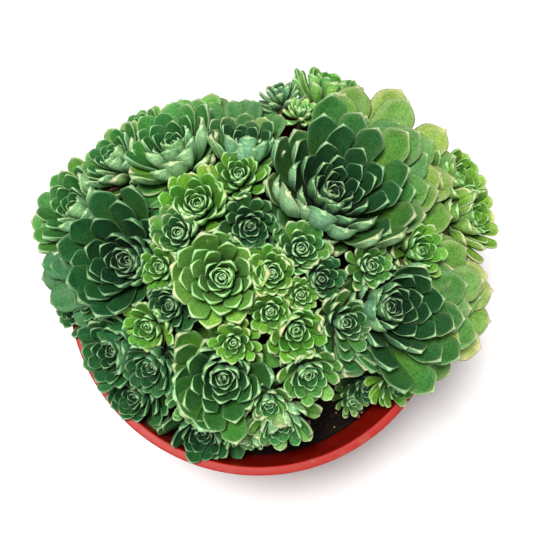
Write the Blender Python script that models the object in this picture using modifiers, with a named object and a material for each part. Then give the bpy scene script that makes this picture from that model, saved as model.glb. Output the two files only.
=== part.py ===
"""A clump of rosularia in a round plastic pot.

The pot is a turned shell with drain holes. Potting mix fills it to just under the rim, with a low crown in
the middle. Each rosette of the clump is one solid: a stem that stands in its own hole in the mix, a small
core on top of it, and fleshy leaves set round the core by the golden angle. The rosettes sit on a dome
that overhangs the rim at the back and at both sides. A leaf that would reach into the next rosette stands
steeper or stays shorter, as crowded leaves do.
Metres, +Z up, with the origin in the middle of the pot's flat underside.
"""

import math
from collections import namedtuple

import bmesh
import bpy
from mathutils import Matrix, Vector

MM = 0.001

# Driving dimensions of the pot, in millimetres
POT_RADIUS = 65.0
POT_HEIGHT = 115.0
BASE_RADIUS = 46.0
WALL = 1.6
BASE_THICKNESS = 2.0
RIM_WIDTH = 2.9
RIM_BAND_HEIGHT = 13.0
RIM_STANDS_OUT = 1.3
DRAIN_HOLES = 8
DRAIN_HOLE_RADIUS = 4.0
DRAIN_CIRCLE_RADIUS = 34.0
POT_SIDES = 40

# Driving dimensions of the potting mix
SOIL_BELOW_RIM = 16.0
SOIL_CROWN = 21.0
SOIL_CLEARANCE = 0.3
SOIL_SIDES = 24

# The dome that the rosettes' hearts lie on: its centre, and its half-widths along X, Y and Z
DOME_CENTRE = Vector((4.0, 8.0, POT_HEIGHT + 3.0))
DOME_HALF = Vector((68.0, 61.0, 37.0))

# Leaves
GOLDEN_ANGLE = math.radians(137.508)
FIRST_LEAF = 0.14
LEAF_THICKNESS = 1.7
SMALL_LEAF_THICKNESS = 1.4
SMALL_REACH = 9.6
BIG_REACH = 21.0
CELL_GAP = 0.4
# A leaf's usual length over its rosette's reach: the youngest, and how much more the outermost has
LENGTH_AT_BUD = 0.42
LENGTH_GAIN = 0.66
# The most that a leaf may grow over its usual length, and the same for one that points outward in a
# rosette over the given reach
GROWTH = 1.15
OUTWARD_GROWTH = 1.35
LONG_LEAVED_REACH = 20.0
OUTWARD = 0.75
# What a leaf may be tried at: degrees that it stands up from its usual pitch, and shares of its length. A
# leaf that stands up is no longer than usual.
LIFTS = (-16, -8, 0, 10, 20, 30)
SHRINKS = (1.25, 1.15, 1.05, 0.95, 0.85, 0.75, 0.65, 0.55, 0.45)
LONGEST_LIFTED = 1.0
LOWEST_LEAF = POT_HEIGHT - 9.0
OBSTACLE_GAP = 0.8
STEM_GAP = 0.5

# Shares of a rosette's reach: how far the bud's tip stands over the heart, and the core's breadth at its
# four corners and between them, its least breadth, how far it slopes down, and its top and bottom
BUD_RISE = 0.28
CORE_CORNER = 0.90
CORE_BAY = 0.70
CORE_LEAST = 0.25
CORE_SLOPE = -0.32
CORE_TOP = 0.12
CORE_BOTTOM = -0.62
CORE_STEP = 0.04

# Stems. The spread is how much farther out a stem stands at its top, for each millimetre of its height
# and of its distance from the middle
STEM_SIDES = 4
STEM_SPREAD = 0.006
ROOT_LIMIT = 50.5
ROOT_DEPTH = 5.0
STEM_CLEARANCE = 0.35
STEM_DRILL_TOP = 9.0
STRAIGHT_STEM_LIMIT = 60.0
KNEE_RADIUS = 53.5
KNEE_ABOVE_RIM = 3.6

# heart: bearing round the dome from +X, and lean from its top, in degrees. reach: from the heart to the
# outer leaf tips, in millimetres. face: bearing and lean of the way the rosette looks, where that isn't
# square to the dome. inset: how far the heart is sunk towards the dome's centre, as a share.
Rosette = namedtuple("Rosette", "name bearing lean reach leaves tint face inset", defaults=(None, 0.0))

DARK, MID, BRIGHT, PALE, OLIVE = "leaf_dark", "leaf_mid", "leaf_bright", "leaf_pale", "leaf_olive"

ROSETTES = [
    # The broad old rosettes
    Rosette("rosette_crown_back", 42, 20, 28.5, 38, DARK, (45, 30)),
    Rosette("rosette_right", 327, 38, 27.0, 36, DARK, (342, 34)),
    Rosette("rosette_front", 251, 47, 20.0, 24, MID, (258, 28)),
    Rosette("rosette_left", 189, 43, 22.0, 26, DARK, (203, 34)),
    Rosette("rosette_centre", 220, 19, 17.5, 20, PALE, (249, 10)),
    Rosette("rosette_back_left", 134, 42, 17.0, 19, MID, (125, 38)),
    Rosette("rosette_left_edge", 166, 77, 18.0, 16, MID, (158, 52)),
    # Middle-sized rosettes
    Rosette("rosette_back_left_edge", 148, 63, 13.0, 12, MID),
    Rosette("rosette_back", 108, 29, 14.5, 14, DARK, (92, 36)),
    Rosette("rosette_crown_left", 156, 23, 12.5, 14, BRIGHT, (150, 12)),
    Rosette("rosette_front_edge", 251, 92, 15.0, 13, DARK, (255, 56)),
    Rosette("rosette_back_edge", 73, 75, 12.0, 10, BRIGHT, (80, 58)),
    Rosette("rosette_right_edge_1", 25, 78, 12.0, 10, OLIVE, (26, 58), -0.03),
    Rosette("rosette_right_edge_2", 12, 79, 12.0, 10, OLIVE, (4, 60), -0.02),
    Rosette("rosette_front_left_1", 216, 66, 13.0, 12, DARK, (215, 52)),
    Rosette("rosette_front_left_2", 229, 93, 12.0, 11, DARK, (228, 55)),
    Rosette("rosette_front_right_1", 280, 28, 10.5, 10, BRIGHT),
    Rosette("rosette_front_right_2", 272, 65, 11.0, 9, MID),
    # Small rosettes on the crown
    Rosette("offset_crown_1", 178, 26, 10.0, 7, MID),
    Rosette("offset_crown_2", 119, 21, 9.5, 7, BRIGHT),
    Rosette("offset_crown_3", 158, 8, 9.0, 7, DARK, (280, 22)),
    Rosette("offset_crown_4", 326, 7, 9.0, 7, MID),
    Rosette("offset_crown_5", 262, 11, 9.0, 7, BRIGHT),
    Rosette("offset_crown_6", 312, 17, 8.0, 7, DARK, (330, 14), 0.03),
    Rosette("offset_crown_7", 265, 22, 7.0, 7, BRIGHT),
    Rosette("offset_crown_8", 289, 18, 5.5, 7, BRIGHT),
    # Small rosettes on the front slope
    Rosette("offset_front_1", 282, 43, 10.0, 7, MID),
    Rosette("offset_front_2", 305, 31, 10.0, 7, DARK, (330, 22)),
    Rosette("offset_front_3", 250, 34, 7.0, 7, BRIGHT),
    Rosette("offset_front_4", 268, 54, 7.5, 7, MID),
    Rosette("offset_front_5", 263, 84, 8.0, 7, MID),
    Rosette("offset_front_6", 304, 103, 7.0, 7, DARK, (300, 35), 0.13),
    Rosette("offset_front_7", 298, 109, 5.5, 7, PALE, (300, 25), 0.06),
    Rosette("offset_front_8", 310, 86, 7.0, 7, BRIGHT, (305, 50), 0.06),
    # Small rosettes at the left
    Rosette("offset_left_1", 215, 37, 10.0, 7, DARK, None, 0.04),
    Rosette("offset_left_2", 217, 46, 8.5, 7, BRIGHT),
    Rosette("offset_left_3", 196, 33, 7.5, 7, BRIGHT),
    Rosette("offset_left_4", 228, 57, 9.0, 7, MID),
    Rosette("offset_left_5", 245, 65, 8.0, 7, MID),
    Rosette("offset_left_6", 198, 88, 8.0, 7, MID, (200, 58)),
    Rosette("offset_left_7", 197, 63, 8.0, 7, DARK),
    # Small rosettes at the right
    Rosette("offset_right_1", 341, 26, 7.5, 7, MID),
    Rosette("offset_right_2", 356, 41, 9.5, 7, BRIGHT),
    # Small rosettes at the back
    Rosette("offset_back_1", 88, 58, 6.5, 7, MID, (92, 36)),
    Rosette("offset_back_2", 80, 47, 5.0, 7, PALE),
    Rosette("offset_back_3", 133, 82, 10.0, 7, MID, (133, 60), 0.04),
]

# Long old leaves that hang outward: rosette, bearing in degrees, length in millimetres
Hanging = namedtuple("Hanging", "rosette bearing length")
HANGING_LEAVES = (
    Hanging("rosette_crown_back", 60, 49.0),
    Hanging("rosette_crown_back", 43, 51.0),
    Hanging("rosette_crown_back", 24, 47.0),
    Hanging("rosette_right", 30, 48.0),
    Hanging("rosette_right", 17, 51.0),
    Hanging("rosette_right", 5, 43.0),
    Hanging("rosette_right", 354, 49.0),
    Hanging("rosette_right", 342, 45.0),
    Hanging("rosette_right", 331, 40.0),
    Hanging("rosette_right", 316, 37.0),
    Hanging("rosette_left", 175, 40.0),
    Hanging("rosette_left", 191, 40.0),
    Hanging("rosette_left", 212, 37.0),
)

# Colours are linear RGB, roughly what the eye sees on each kind of leaf
TINTS = {
    DARK: (0.035, 0.125, 0.055),
    MID: (0.075, 0.215, 0.065),
    BRIGHT: (0.125, 0.330, 0.045),
    PALE: (0.180, 0.340, 0.120),
    OLIVE: (0.210, 0.290, 0.055),
}
POT_COLOUR = (0.420, 0.040, 0.030)
SOIL_COLOUR = (0.020, 0.014, 0.010)


def clear_scene():
    for obj in list(bpy.data.objects):
        bpy.data.objects.remove(obj, do_unlink=True)


def new_collection(name):
    collection = bpy.data.collections.new(name)
    bpy.context.scene.collection.children.link(collection)
    return collection


def make_material(name, colour, roughness):
    material = bpy.data.materials.new(name)
    material.use_nodes = True
    shader = material.node_tree.nodes["Principled BSDF"]
    shader.inputs["Base Color"].default_value = (*colour, 1.0)
    shader.inputs["Roughness"].default_value = roughness
    shader.inputs["Metallic"].default_value = 0.0
    material.diffuse_color = (*colour, 1.0)
    return material


def add_object(name, mesh, collection, material=None):
    obj = bpy.data.objects.new(name, mesh)
    collection.objects.link(obj)
    if material:
        mesh.materials.append(material)
    return obj


def direction(bearing, lean):
    """Unit vector that leans from +Z by lean towards bearing, both in degrees."""
    b, t = math.radians(bearing), math.radians(lean)
    return Vector((math.sin(t) * math.cos(b), math.sin(t) * math.sin(b), math.cos(t)))


def turned_object(name, profile, sides, collection, material):
    """A solid of revolution from (radius, height) points in millimetres, read down its outer side."""
    mesh = bpy.data.meshes.new(name)
    points = [Vector((r, 0.0, z)) * MM for r, z in profile]
    mesh.from_pydata(points, [(i, i + 1) for i in range(len(points) - 1)], [])
    obj = add_object(name, mesh, collection, material)
    screw = obj.modifiers.new("Turn", "SCREW")
    screw.steps = screw.render_steps = sides
    screw.use_merge_vertices = True
    screw.merge_threshold = 0.00002
    return obj


def apply_modifiers(obj):
    bpy.context.view_layer.update()
    graph = bpy.context.evaluated_depsgraph_get()
    mesh = bpy.data.meshes.new_from_object(obj.evaluated_get(graph))
    obj.modifiers.clear()
    old = obj.data
    obj.data = mesh
    bpy.data.meshes.remove(old)


def cut_away(obj, name, drill, cutters):
    """Take the bmesh drill, which may hold many drills at once, out of the object."""
    mesh = bpy.data.meshes.new(name)
    drill.to_mesh(mesh)
    drill.free()
    cutter = add_object(name, mesh, cutters)
    cutter.hide_render = True
    cutter.display_type = "WIRE"
    cut = obj.modifiers.new("Holes", "BOOLEAN")
    cut.operation = "DIFFERENCE"
    cut.object = cutter
    cut.use_self = True
    apply_modifiers(obj)


def pot_outer_radius(z):
    """Radius of the pot's outer wall, under the rim's band, at height z."""
    return BASE_RADIUS + (POT_RADIUS - RIM_STANDS_OUT - BASE_RADIUS) * z / POT_HEIGHT


def pot_inner_radius(z):
    return pot_outer_radius(z) - WALL


def build_pot(collection, cutters, material):
    """A tapered shell with a thicker band and a flat lip at the rim, and round holes to drain the base."""
    rim_inner = POT_RADIUS - RIM_WIDTH
    band_bottom = POT_HEIGHT - RIM_BAND_HEIGHT
    profile = [
        (rim_inner, POT_HEIGHT),
        (POT_RADIUS - 0.5, POT_HEIGHT),
        (POT_RADIUS, POT_HEIGHT - 0.7),
        (POT_RADIUS - 0.9, band_bottom),
        (pot_outer_radius(band_bottom), band_bottom - 0.6),
        (BASE_RADIUS, 1.2),
        (BASE_RADIUS - 1.2, 0.0),
        (0.0, 0.0),
        (0.0, BASE_THICKNESS),
        (pot_inner_radius(BASE_THICKNESS) - 1.0, BASE_THICKNESS),
        (pot_inner_radius(POT_HEIGHT - 3.0), POT_HEIGHT - 3.0),
        (rim_inner, POT_HEIGHT),
    ]
    pot = turned_object("pot", profile, POT_SIDES, collection, material)
    drill = bmesh.new()
    for i in range(DRAIN_HOLES):
        place = Matrix.Rotation(2 * math.pi * i / DRAIN_HOLES, 4, "Z")
        place = place @ Matrix.Translation(Vector((DRAIN_CIRCLE_RADIUS * MM, 0, BASE_THICKNESS * MM / 2)))
        bmesh.ops.create_cone(
            drill,
            cap_ends=True,
            segments=8,
            radius1=DRAIN_HOLE_RADIUS * MM,
            radius2=DRAIN_HOLE_RADIUS * MM,
            depth=3 * BASE_THICKNESS * MM,
            matrix=place,
        )
    cut_away(pot, "drain_drill", drill, cutters)
    pot.data.shade_smooth()
    pot.data.set_sharp_from_angle(angle=math.radians(35))
    return pot


def soil_height(radius):
    """Height of the potting mix, a low crown that falls to the pot's wall."""
    edge = pot_inner_radius(POT_HEIGHT - SOIL_BELOW_RIM)
    share = min(1.0, radius / edge)
    return POT_HEIGHT - SOIL_BELOW_RIM + SOIL_CROWN * (1.0 - share * share) ** 2


def build_soil(collection, cutters, material, rosettes):
    """Potting mix that fills the pot, with a plain hole for each stem."""
    bottom = BASE_THICKNESS + SOIL_CLEARANCE
    edge_z = POT_HEIGHT - SOIL_BELOW_RIM
    # The soil's corners stay clear of the flats between the pot's corners
    flat = math.cos(math.pi / POT_SIDES)
    edge_radius = pot_inner_radius(edge_z) * flat - SOIL_CLEARANCE
    bottom_radius = (pot_inner_radius(bottom + 2.0) - 1.2) * flat - SOIL_CLEARANCE
    rings = [0.0, 0.33, 0.66]
    profile = [(edge_radius * share, soil_height(edge_radius * share)) for share in rings]
    profile += [(edge_radius, edge_z), (bottom_radius, bottom), (0.0, bottom)]
    soil = turned_object("soil", profile, SOIL_SIDES, collection, material)
    drill = bmesh.new()
    low = -ROOT_DEPTH - STEM_CLEARANCE
    high = STEM_DRILL_TOP
    for rosette in rosettes:
        root, axis = stem_root(rosette), stem_axis(rosette)
        frame = axis_matrix(axis, tangent(rosette)).to_4x4()
        middle = Matrix.Translation(Vector((0, 0, (low + high) / 2 * MM)))
        # A cone's first corner lies on its own +Y, and a stem's on +X
        corner = Matrix.Rotation(math.radians(-90), 4, "Z")
        bmesh.ops.create_cone(
            drill,
            cap_ends=True,
            segments=STEM_SIDES,
            radius1=(stem_radius_at(rosette, low) + STEM_CLEARANCE) * MM,
            radius2=(stem_radius_at(rosette, high) + STEM_CLEARANCE) * MM,
            depth=(high - low) * MM,
            matrix=Matrix.Translation(root * MM) @ frame @ middle @ corner,
        )
    cut_away(soil, "stem_drill", drill, cutters)
    return soil


def heart(rosette):
    """Where the rosette's leaves spring from, in millimetres: sunk under the dome by a share of its reach."""
    across = direction(rosette.bearing, rosette.lean)
    offset = Vector([a * h for a, h in zip(across, DOME_HALF)])
    return DOME_CENTRE + offset * (1.0 - rosette.inset) - facing(rosette) * BUD_RISE * rosette.reach


def facing(rosette):
    """The way the rosette looks: square to the dome, unless its face is given."""
    if rosette.face:
        return direction(*rosette.face)
    across = direction(rosette.bearing, rosette.lean)
    return Vector([a / h for a, h in zip(across, DOME_HALF)]).normalized()


def tangent(rosette):
    """A level direction along the dome, from which rings and leaves are turned."""
    b = math.radians(rosette.bearing)
    return Vector((-math.sin(b), math.cos(b), 0.0))


def axis_matrix(axis, level):
    """A rotation whose Z is axis and whose X is the part of level that is square to it."""
    x = (level - axis * level.dot(axis)).normalized()
    return Matrix((x, axis.cross(x), axis)).transposed()


def stem_radius(rosette):
    """Radius of the stem where it stands in the potting mix."""
    return 1.0 + 0.055 * rosette.reach


def top_radius(rosette):
    """Radius of the stem under the core."""
    return max(stem_radius(rosette), 0.18 * rosette.reach)


def stem_top(rosette):
    return heart(rosette) + facing(rosette) * CORE_BOTTOM * rosette.reach


def stem_root(rosette):
    """Where the stem's middle line enters the potting mix. Stems spread more the farther out they stand."""
    centre = heart(rosette)
    radius = math.hypot(centre.x, centre.y)
    rise = centre.z - soil_height(radius)
    root = min(ROOT_LIMIT, radius - STEM_SPREAD * radius * rise)
    x, y = centre.x * root / radius, centre.y * root / radius
    return Vector((x, y, soil_height(root)))


def stem_knee(rosette):
    """The bend of a stem that first rises over the rim and then leans out, or None for a straight stem."""
    centre = heart(rosette)
    radius = math.hypot(centre.x, centre.y)
    if radius < STRAIGHT_STEM_LIMIT:
        return None
    share = KNEE_RADIUS / radius
    return Vector((centre.x * share, centre.y * share, POT_HEIGHT + KNEE_ABOVE_RIM))


def stem_axis(rosette):
    end = stem_knee(rosette) or stem_top(rosette)
    return (end - stem_root(rosette)).normalized()


def stem_radius_at(rosette, height):
    """Radius of the stem at a height along it, measured from where it enters the potting mix."""
    radius = stem_radius(rosette)
    if stem_knee(rosette):
        return radius
    length = (stem_top(rosette) - stem_root(rosette)).length
    return radius + (top_radius(rosette) - radius) * (height + ROOT_DEPTH) / (length + ROOT_DEPTH)


def stem_line(rosette):
    """The stem's middle line as (start, end, radius) pieces."""
    root, knee, top = stem_root(rosette), stem_knee(rosette), stem_top(rosette)
    if knee:
        return [(root, knee, stem_radius(rosette)), (knee, top, top_radius(rosette))]
    return [(root, top, top_radius(rosette))]


def ring(centre, axis, level, radius, sides):
    turn = axis_matrix(axis, level)
    angles = [2 * math.pi * i / sides for i in range(sides)]
    return [centre + turn @ Vector((radius * math.cos(a), radius * math.sin(a), 0)) for a in angles]


def own_turn(rosette):
    """The rosette's own turn about its axis, so that no two look alike."""
    return math.radians(rosette.bearing * 7.0)


def core_ring(rosette, room):
    """The core's edge: four corners with bays between, as far out as there is room.

    It is turned by at most half the angle between two corners, so that the skin over the stem isn't twisted.
    """
    frame = axis_matrix(facing(rosette), tangent(rosette))
    centre, foot = heart(rosette), stem_top(rosette)
    apex = centre + facing(rosette) * CORE_TOP * rosette.reach
    count = 2 * STEM_SIDES
    pitch = 2 * math.pi / count
    turn = own_turn(rosette) % pitch - pitch / 2
    shares = [CORE_BAY if i % 2 else CORE_CORNER for i in range(count)]

    def corner(i):
        a = turn + pitch * i
        return centre + frame @ Vector((math.cos(a), math.sin(a), CORE_SLOPE)) * rosette.reach * shares[i]

    for i in range(count):
        while shares[i] > CORE_LEAST and not room.holds(corner(i)):
            shares[i] -= CORE_STEP
    for _ in range(math.ceil(CORE_CORNER / CORE_STEP)):
        crowded = set()
        for i in range(count):
            j = (i + 1) % count
            if not all(room.face_is_clear(end, corner(i), corner(j)) for end in (apex, foot)):
                crowded.update((i, j))
        for i in crowded:
            shares[i] = max(CORE_LEAST, shares[i] - CORE_STEP)
    return [corner(i) for i in range(count)]


def bridge(shape, low, high):
    """Faces between two rows of vertices, of equal count or with twice as many in the upper row."""
    count = len(low)
    ratio = len(high) // count
    for i in range(count):
        j = (i + 1) % count
        if ratio == 1:
            shape.faces.new((low[i], low[j], high[j], high[i]))
        else:
            a, b, c = high[2 * i], high[2 * i + 1], high[2 * j]
            shape.faces.new((low[i], b, a))
            shape.faces.new((low[i], low[j], b))
            shape.faces.new((low[j], c, b))


def loft(name, rings, end, start=None):
    """A closed skin from a start point, or a flat cap, through rings to an end point."""
    shape = bmesh.new()
    rows = [[shape.verts.new(p * MM) for p in section] for section in rings]
    if start is None:
        shape.faces.new(rows[0][::-1])
    else:
        first = shape.verts.new(start * MM)
        for i, vert in enumerate(rows[0]):
            shape.faces.new((rows[0][(i + 1) % len(rows[0])], vert, first))
    for low, high in zip(rows, rows[1:]):
        bridge(shape, low, high)
    last = shape.verts.new(end * MM)
    for i, vert in enumerate(rows[-1]):
        shape.faces.new((vert, rows[-1][(i + 1) % len(rows[-1])], last))
    bmesh.ops.triangulate(shape, faces=shape.faces[:])
    bmesh.ops.recalc_face_normals(shape, faces=shape.faces[:])
    mesh = bpy.data.meshes.new(name)
    shape.to_mesh(mesh)
    shape.free()
    return mesh


def stem_mesh(rosette, room):
    """The stem from its root up to the core, which closes in the bud's blunt point."""
    top, knee, axis = stem_top(rosette), stem_knee(rosette), stem_axis(rosette)
    look, level = facing(rosette), tangent(rosette)
    radius = stem_radius(rosette)
    rings = [ring(stem_root(rosette) - axis * ROOT_DEPTH, axis, level, radius, STEM_SIDES)]
    if knee:
        outward = (top - knee).normalized()
        rings.append(ring(knee, (axis + outward).normalized(), level, radius, STEM_SIDES))
        axis = outward
    rings.append(ring(top, (axis + look).normalized(), level, top_radius(rosette), STEM_SIDES))
    rings.append(core_ring(rosette, room))
    return loft("stem", rings, heart(rosette) + look * CORE_TOP * rosette.reach)


def leaf_points(rosette, order, lift, shrink):
    """Side view of one leaf, in millimetres: its root, its sections, and its tip.

    order runs from 0 at the bud to 1 at the outermost leaf. A leaf springs from the middle of the bud at
    a pitch above the rosette's own plane and curves up along its length. Its outline widens from the root
    and is broadest near the tip. It is flat above and keeled below. Small rosettes have a plainer leaf.
    """
    reach = rosette.reach
    small = reach < SMALL_REACH
    length = usual_length(rosette, order) * shrink
    width = reach * (0.24 + (0.33 if reach < BIG_REACH else 0.26) * order) * (0.5 + 0.5 * min(shrink, 1.1))
    pitch = math.radians(72.0 - 67.0 * order**0.8 + lift)
    curl = math.radians(32.0 - 8.0 * order)
    thickness = SMALL_LEAF_THICKNESS if small else LEAF_THICKNESS
    stations = ((0.72, 1.0, 1.1),) if small else ((0.62, 1.0, 1.15), (0.88, 0.78, 0.8))
    r = 0.0
    z = (0.04 - 0.20 * order) * reach
    root = (r, z)
    done = 0.0
    sections = []
    for along, half, thick in stations:
        step = (along - done) * length
        slope = pitch + curl * (along + done) / 2
        r += step * math.cos(slope)
        z += step * math.sin(slope)
        done = along
        sections.append((r, z, pitch + curl * along, half * width / 2, thick * thickness))
    slope = pitch + curl * 0.95
    step = (1.0 - done) * length
    tip = (r + step * math.cos(slope), z + step * math.sin(slope))
    return root, sections, tip


def leaf_shape(rosette, order, azimuth, lift, shrink):
    """The leaf's root, its rings of three points, two edges and a keel, and its tip, in the part's frame."""
    root, sections, tip = leaf_points(rosette, order, lift, shrink)
    frame = axis_matrix(facing(rosette), tangent(rosette)) @ Matrix.Rotation(azimuth, 3, "Z")
    centre = heart(rosette)

    def place(r, y, z):
        return centre + frame @ Vector((r, y, z))

    rings = []
    for r, z, slope, half, thick in sections:
        up = Vector((-math.sin(slope), 0, math.cos(slope)))
        cup = 0.20 * half
        keel = thick - cup / 2
        rings.append(
            [
                place(r + up.x * cup, half, z + up.z * cup),
                place(r + up.x * cup, -half, z + up.z * cup),
                place(r - up.x * keel, 0.0, z - up.z * keel),
            ]
        )
    return place(root[0], 0.0, root[1]), rings, place(tip[0], 0.0, tip[1])


def clear_of_pot(point):
    """True if the point isn't in or too near the pot's wall, the rim or the potting mix."""
    radius = math.hypot(point.x, point.y)
    if radius > POT_RADIUS + OBSTACLE_GAP or point.z > POT_HEIGHT + OBSTACLE_GAP:
        return point.z > max(LOWEST_LEAF, soil_height(radius) + OBSTACLE_GAP)
    inside = pot_inner_radius(point.z) * math.cos(math.pi / POT_SIDES) - OBSTACLE_GAP
    if point.z > POT_HEIGHT - 6.0:
        inside = min(inside, POT_RADIUS - RIM_WIDTH - 1.0)
    return radius < inside and point.z > soil_height(radius) + OBSTACLE_GAP


class Room:
    """The space that a rosette may fill: its own cell, less the pot, the soil and the other stems.

    A plane parts it from each neighbour. Beyond the neighbour's longest leaf the plane no longer counts.
    """

    def __init__(self, rosette, rosettes):
        self.planes = []
        self.stems = []
        centre = heart(rosette)
        for other in rosettes:
            if other is rosette:
                continue
            away = heart(other) - centre
            distance = away.length
            if distance < 1.5 * (rosette.reach + other.reach) + 5.0:
                normal = away / distance
                share = rosette.reach / (rosette.reach + other.reach)
                limit = normal.dot(centre) + distance * share - CELL_GAP / 2
                self.planes.append((normal, limit, heart(other), longest_leaf(other) ** 2))
            for start, end, radius in stem_line(other):
                if distance < 2.0 * rosette.reach + 25.0:
                    self.stems.append((start, end - start, (end - start).length_squared, radius + STEM_GAP))

    def holds(self, point):
        for normal, limit, other, far_squared in self.planes:
            if normal.dot(point) >= limit and (point - other).length_squared < far_squared:
                return False
        return True

    def is_clear(self, point):
        if not clear_of_pot(point):
            return False
        for start, along, length_squared, radius in self.stems:
            share = min(1.0, max(0.0, (point - start).dot(along) / length_squared))
            if (start + along * share - point).length_squared < radius * radius:
                return False
        return True

    def line_is_clear(self, start, end):
        points = [start.lerp(end, share) for share in (0.25, 0.5, 0.75, 1.0)]
        return all(self.holds(p) and self.is_clear(p) for p in points)

    def face_is_clear(self, apex, left, right):
        """Samples a triangle, but for the part near its apex."""
        for out in (0.45, 0.6, 0.75, 0.9, 1.0):
            for side in (0.0, 0.25, 0.5, 0.75):
                if not self.is_clear(apex.lerp(left.lerp(right, side), out)):
                    return False
        return True


def fits(root, rings, tip, room):
    """True if the leaf stays in its cell and clear of everything else, also between its corners."""
    if not all(room.holds(p) for section in rings for p in section) or not room.holds(tip):
        return False
    middles = [section[0].lerp(section[1], 0.5) for section in rings]
    lines = [[section[side] for section in rings] for side in range(3)] + [middles]
    for line in lines:
        line = [root.lerp(line[0], 0.3)] + line + [tip]
        if not all(room.line_is_clear(low, high) for low, high in zip(line, line[1:])):
            return False
    return True


def usual_length(rosette, order):
    return rosette.reach * (LENGTH_AT_BUD + LENGTH_GAIN * order**0.8)


def longest_leaf(rosette):
    """How far a rosette's leaves can get from its heart."""
    growth = OUTWARD_GROWTH if rosette.reach > LONG_LEAVED_REACH else GROWTH
    lengths = [growth * usual_length(rosette, 1.0)]
    lengths += [leaf.length for leaf in HANGING_LEAVES if leaf.rosette == rosette.name]
    return max(lengths) + LEAF_THICKNESS


def growth_limit(rosette, order, azimuth):
    root, _, tip = leaf_shape(rosette, order, azimuth, 0.0, 1.0)
    away = Vector((root.x, root.y, 0.0)).normalized()
    outward = (tip - root).normalized().dot(away) > OUTWARD
    return OUTWARD_GROWTH if outward and rosette.reach > LONG_LEAVED_REACH else GROWTH


def leaf_places(rosette):
    """Each leaf's order from the bud outward, its azimuth, and the most that it may grow."""
    for k in range(rosette.leaves):
        order = FIRST_LEAF + (1.0 - FIRST_LEAF) * k / (rosette.leaves - 1)
        azimuth = own_turn(rosette) + k * GOLDEN_ANGLE
        yield order, azimuth, growth_limit(rosette, order, azimuth)
    level = axis_matrix(facing(rosette), tangent(rosette)).transposed()
    for leaf in HANGING_LEAVES:
        if leaf.rosette == rosette.name:
            along = level @ direction(leaf.bearing, 90.0)
            yield 1.0, math.atan2(along.y, along.x), leaf.length / usual_length(rosette, 1.0)


def fitted_leaf(rosette, order, azimuth, most, room):
    """The leaf that keeps most of its shape inside its cell, or None where there is no room for one."""
    shares = [most] + [shrink for shrink in SHRINKS if shrink < most]
    tries = sorted((abs(lift) / 30.0 - 3.0 * shrink, lift, shrink) for lift in LIFTS for shrink in shares)
    for _, lift, shrink in tries:
        if lift > 0 and shrink > LONGEST_LIFTED:
            continue
        root, rings, tip = leaf_shape(rosette, order, azimuth, lift, shrink)
        if fits(root, rings, tip, room):
            return rings, tip, root
    return None


def keep_largest(mesh):
    """Drop the crumbs that a union can leave where two leaves only just touch."""
    shape = bmesh.new()
    shape.from_mesh(mesh)
    todo = set(shape.verts)
    islands = []
    while todo:
        stack = [todo.pop()]
        island = []
        while stack:
            vert = stack.pop()
            island.append(vert)
            for edge in vert.link_edges:
                other = edge.other_vert(vert)
                if other in todo:
                    todo.remove(other)
                    stack.append(other)
        islands.append(island)
    islands.sort(key=len)
    for island in islands[:-1]:
        bmesh.ops.delete(shape, geom=island, context="VERTS")
    shape.to_mesh(mesh)
    shape.free()


def build_rosette(rosette, rosettes, collection, material):
    """One rosette, its stem, bud and leaves joined in one solid."""
    room = Room(rosette, rosettes)
    parts = bpy.data.collections.new("parts_of_" + rosette.name)
    bpy.context.scene.collection.children.link(parts)
    for order, azimuth, most in leaf_places(rosette):
        leaf = fitted_leaf(rosette, order, azimuth, most, room)
        if leaf:
            add_object("leaf", loft("leaf", *leaf), parts)
    body = add_object(rosette.name, stem_mesh(rosette, room), collection)
    join = body.modifiers.new("Leaves", "BOOLEAN")
    join.operation = "UNION"
    join.operand_type = "COLLECTION"
    join.collection = parts
    join.solver = "EXACT"
    apply_modifiers(body)
    keep_largest(body.data)
    for leaf in list(parts.objects):
        mesh = leaf.data
        bpy.data.objects.remove(leaf)
        bpy.data.meshes.remove(mesh)
    bpy.data.collections.remove(parts)
    body.data.materials.clear()
    body.data.materials.append(material)
    origin = heart(rosette) * MM
    body.data.transform(Matrix.Translation(-origin))
    body.location = origin
    return body


def main():
    clear_scene()
    collection = new_collection("potted_rosularia")
    cutters = new_collection("cutters")
    whole = add_object("potted_rosularia", None, collection)
    tints = {name: make_material(name, colour, 0.55) for name, colour in TINTS.items()}
    pot = build_pot(collection, cutters, make_material("pot_plastic", POT_COLOUR, 0.42))
    soil = build_soil(collection, cutters, make_material("potting_mix", SOIL_COLOUR, 0.95), ROSETTES)
    rosettes = [build_rosette(r, ROSETTES, collection, tints[r.tint]) for r in ROSETTES]
    for piece in (pot, soil, *rosettes):
        piece.parent = whole


main()
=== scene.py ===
"""The looks of a clump of rosularia in a plastic pot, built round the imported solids.

Each rosette is one piece with its stem, and stands for the solid of the same name: it has the same heart, and
faces and reaches nearly as its solid does, with finer and more leaves. Lengths are in millimetres, except in
the materials and the lights, where they are in metres. Leaf surfaces carry two colour attributes that their
materials read: leaf_place holds closeness to the margin, place along the leaf, under side, and age, and
leaf_kind holds two random values of the leaf, its share of autumn colour, and its share of dryness.
"""

import math
from collections import namedtuple

import bpy
import numpy as np
from mathutils import Matrix, Vector


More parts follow.
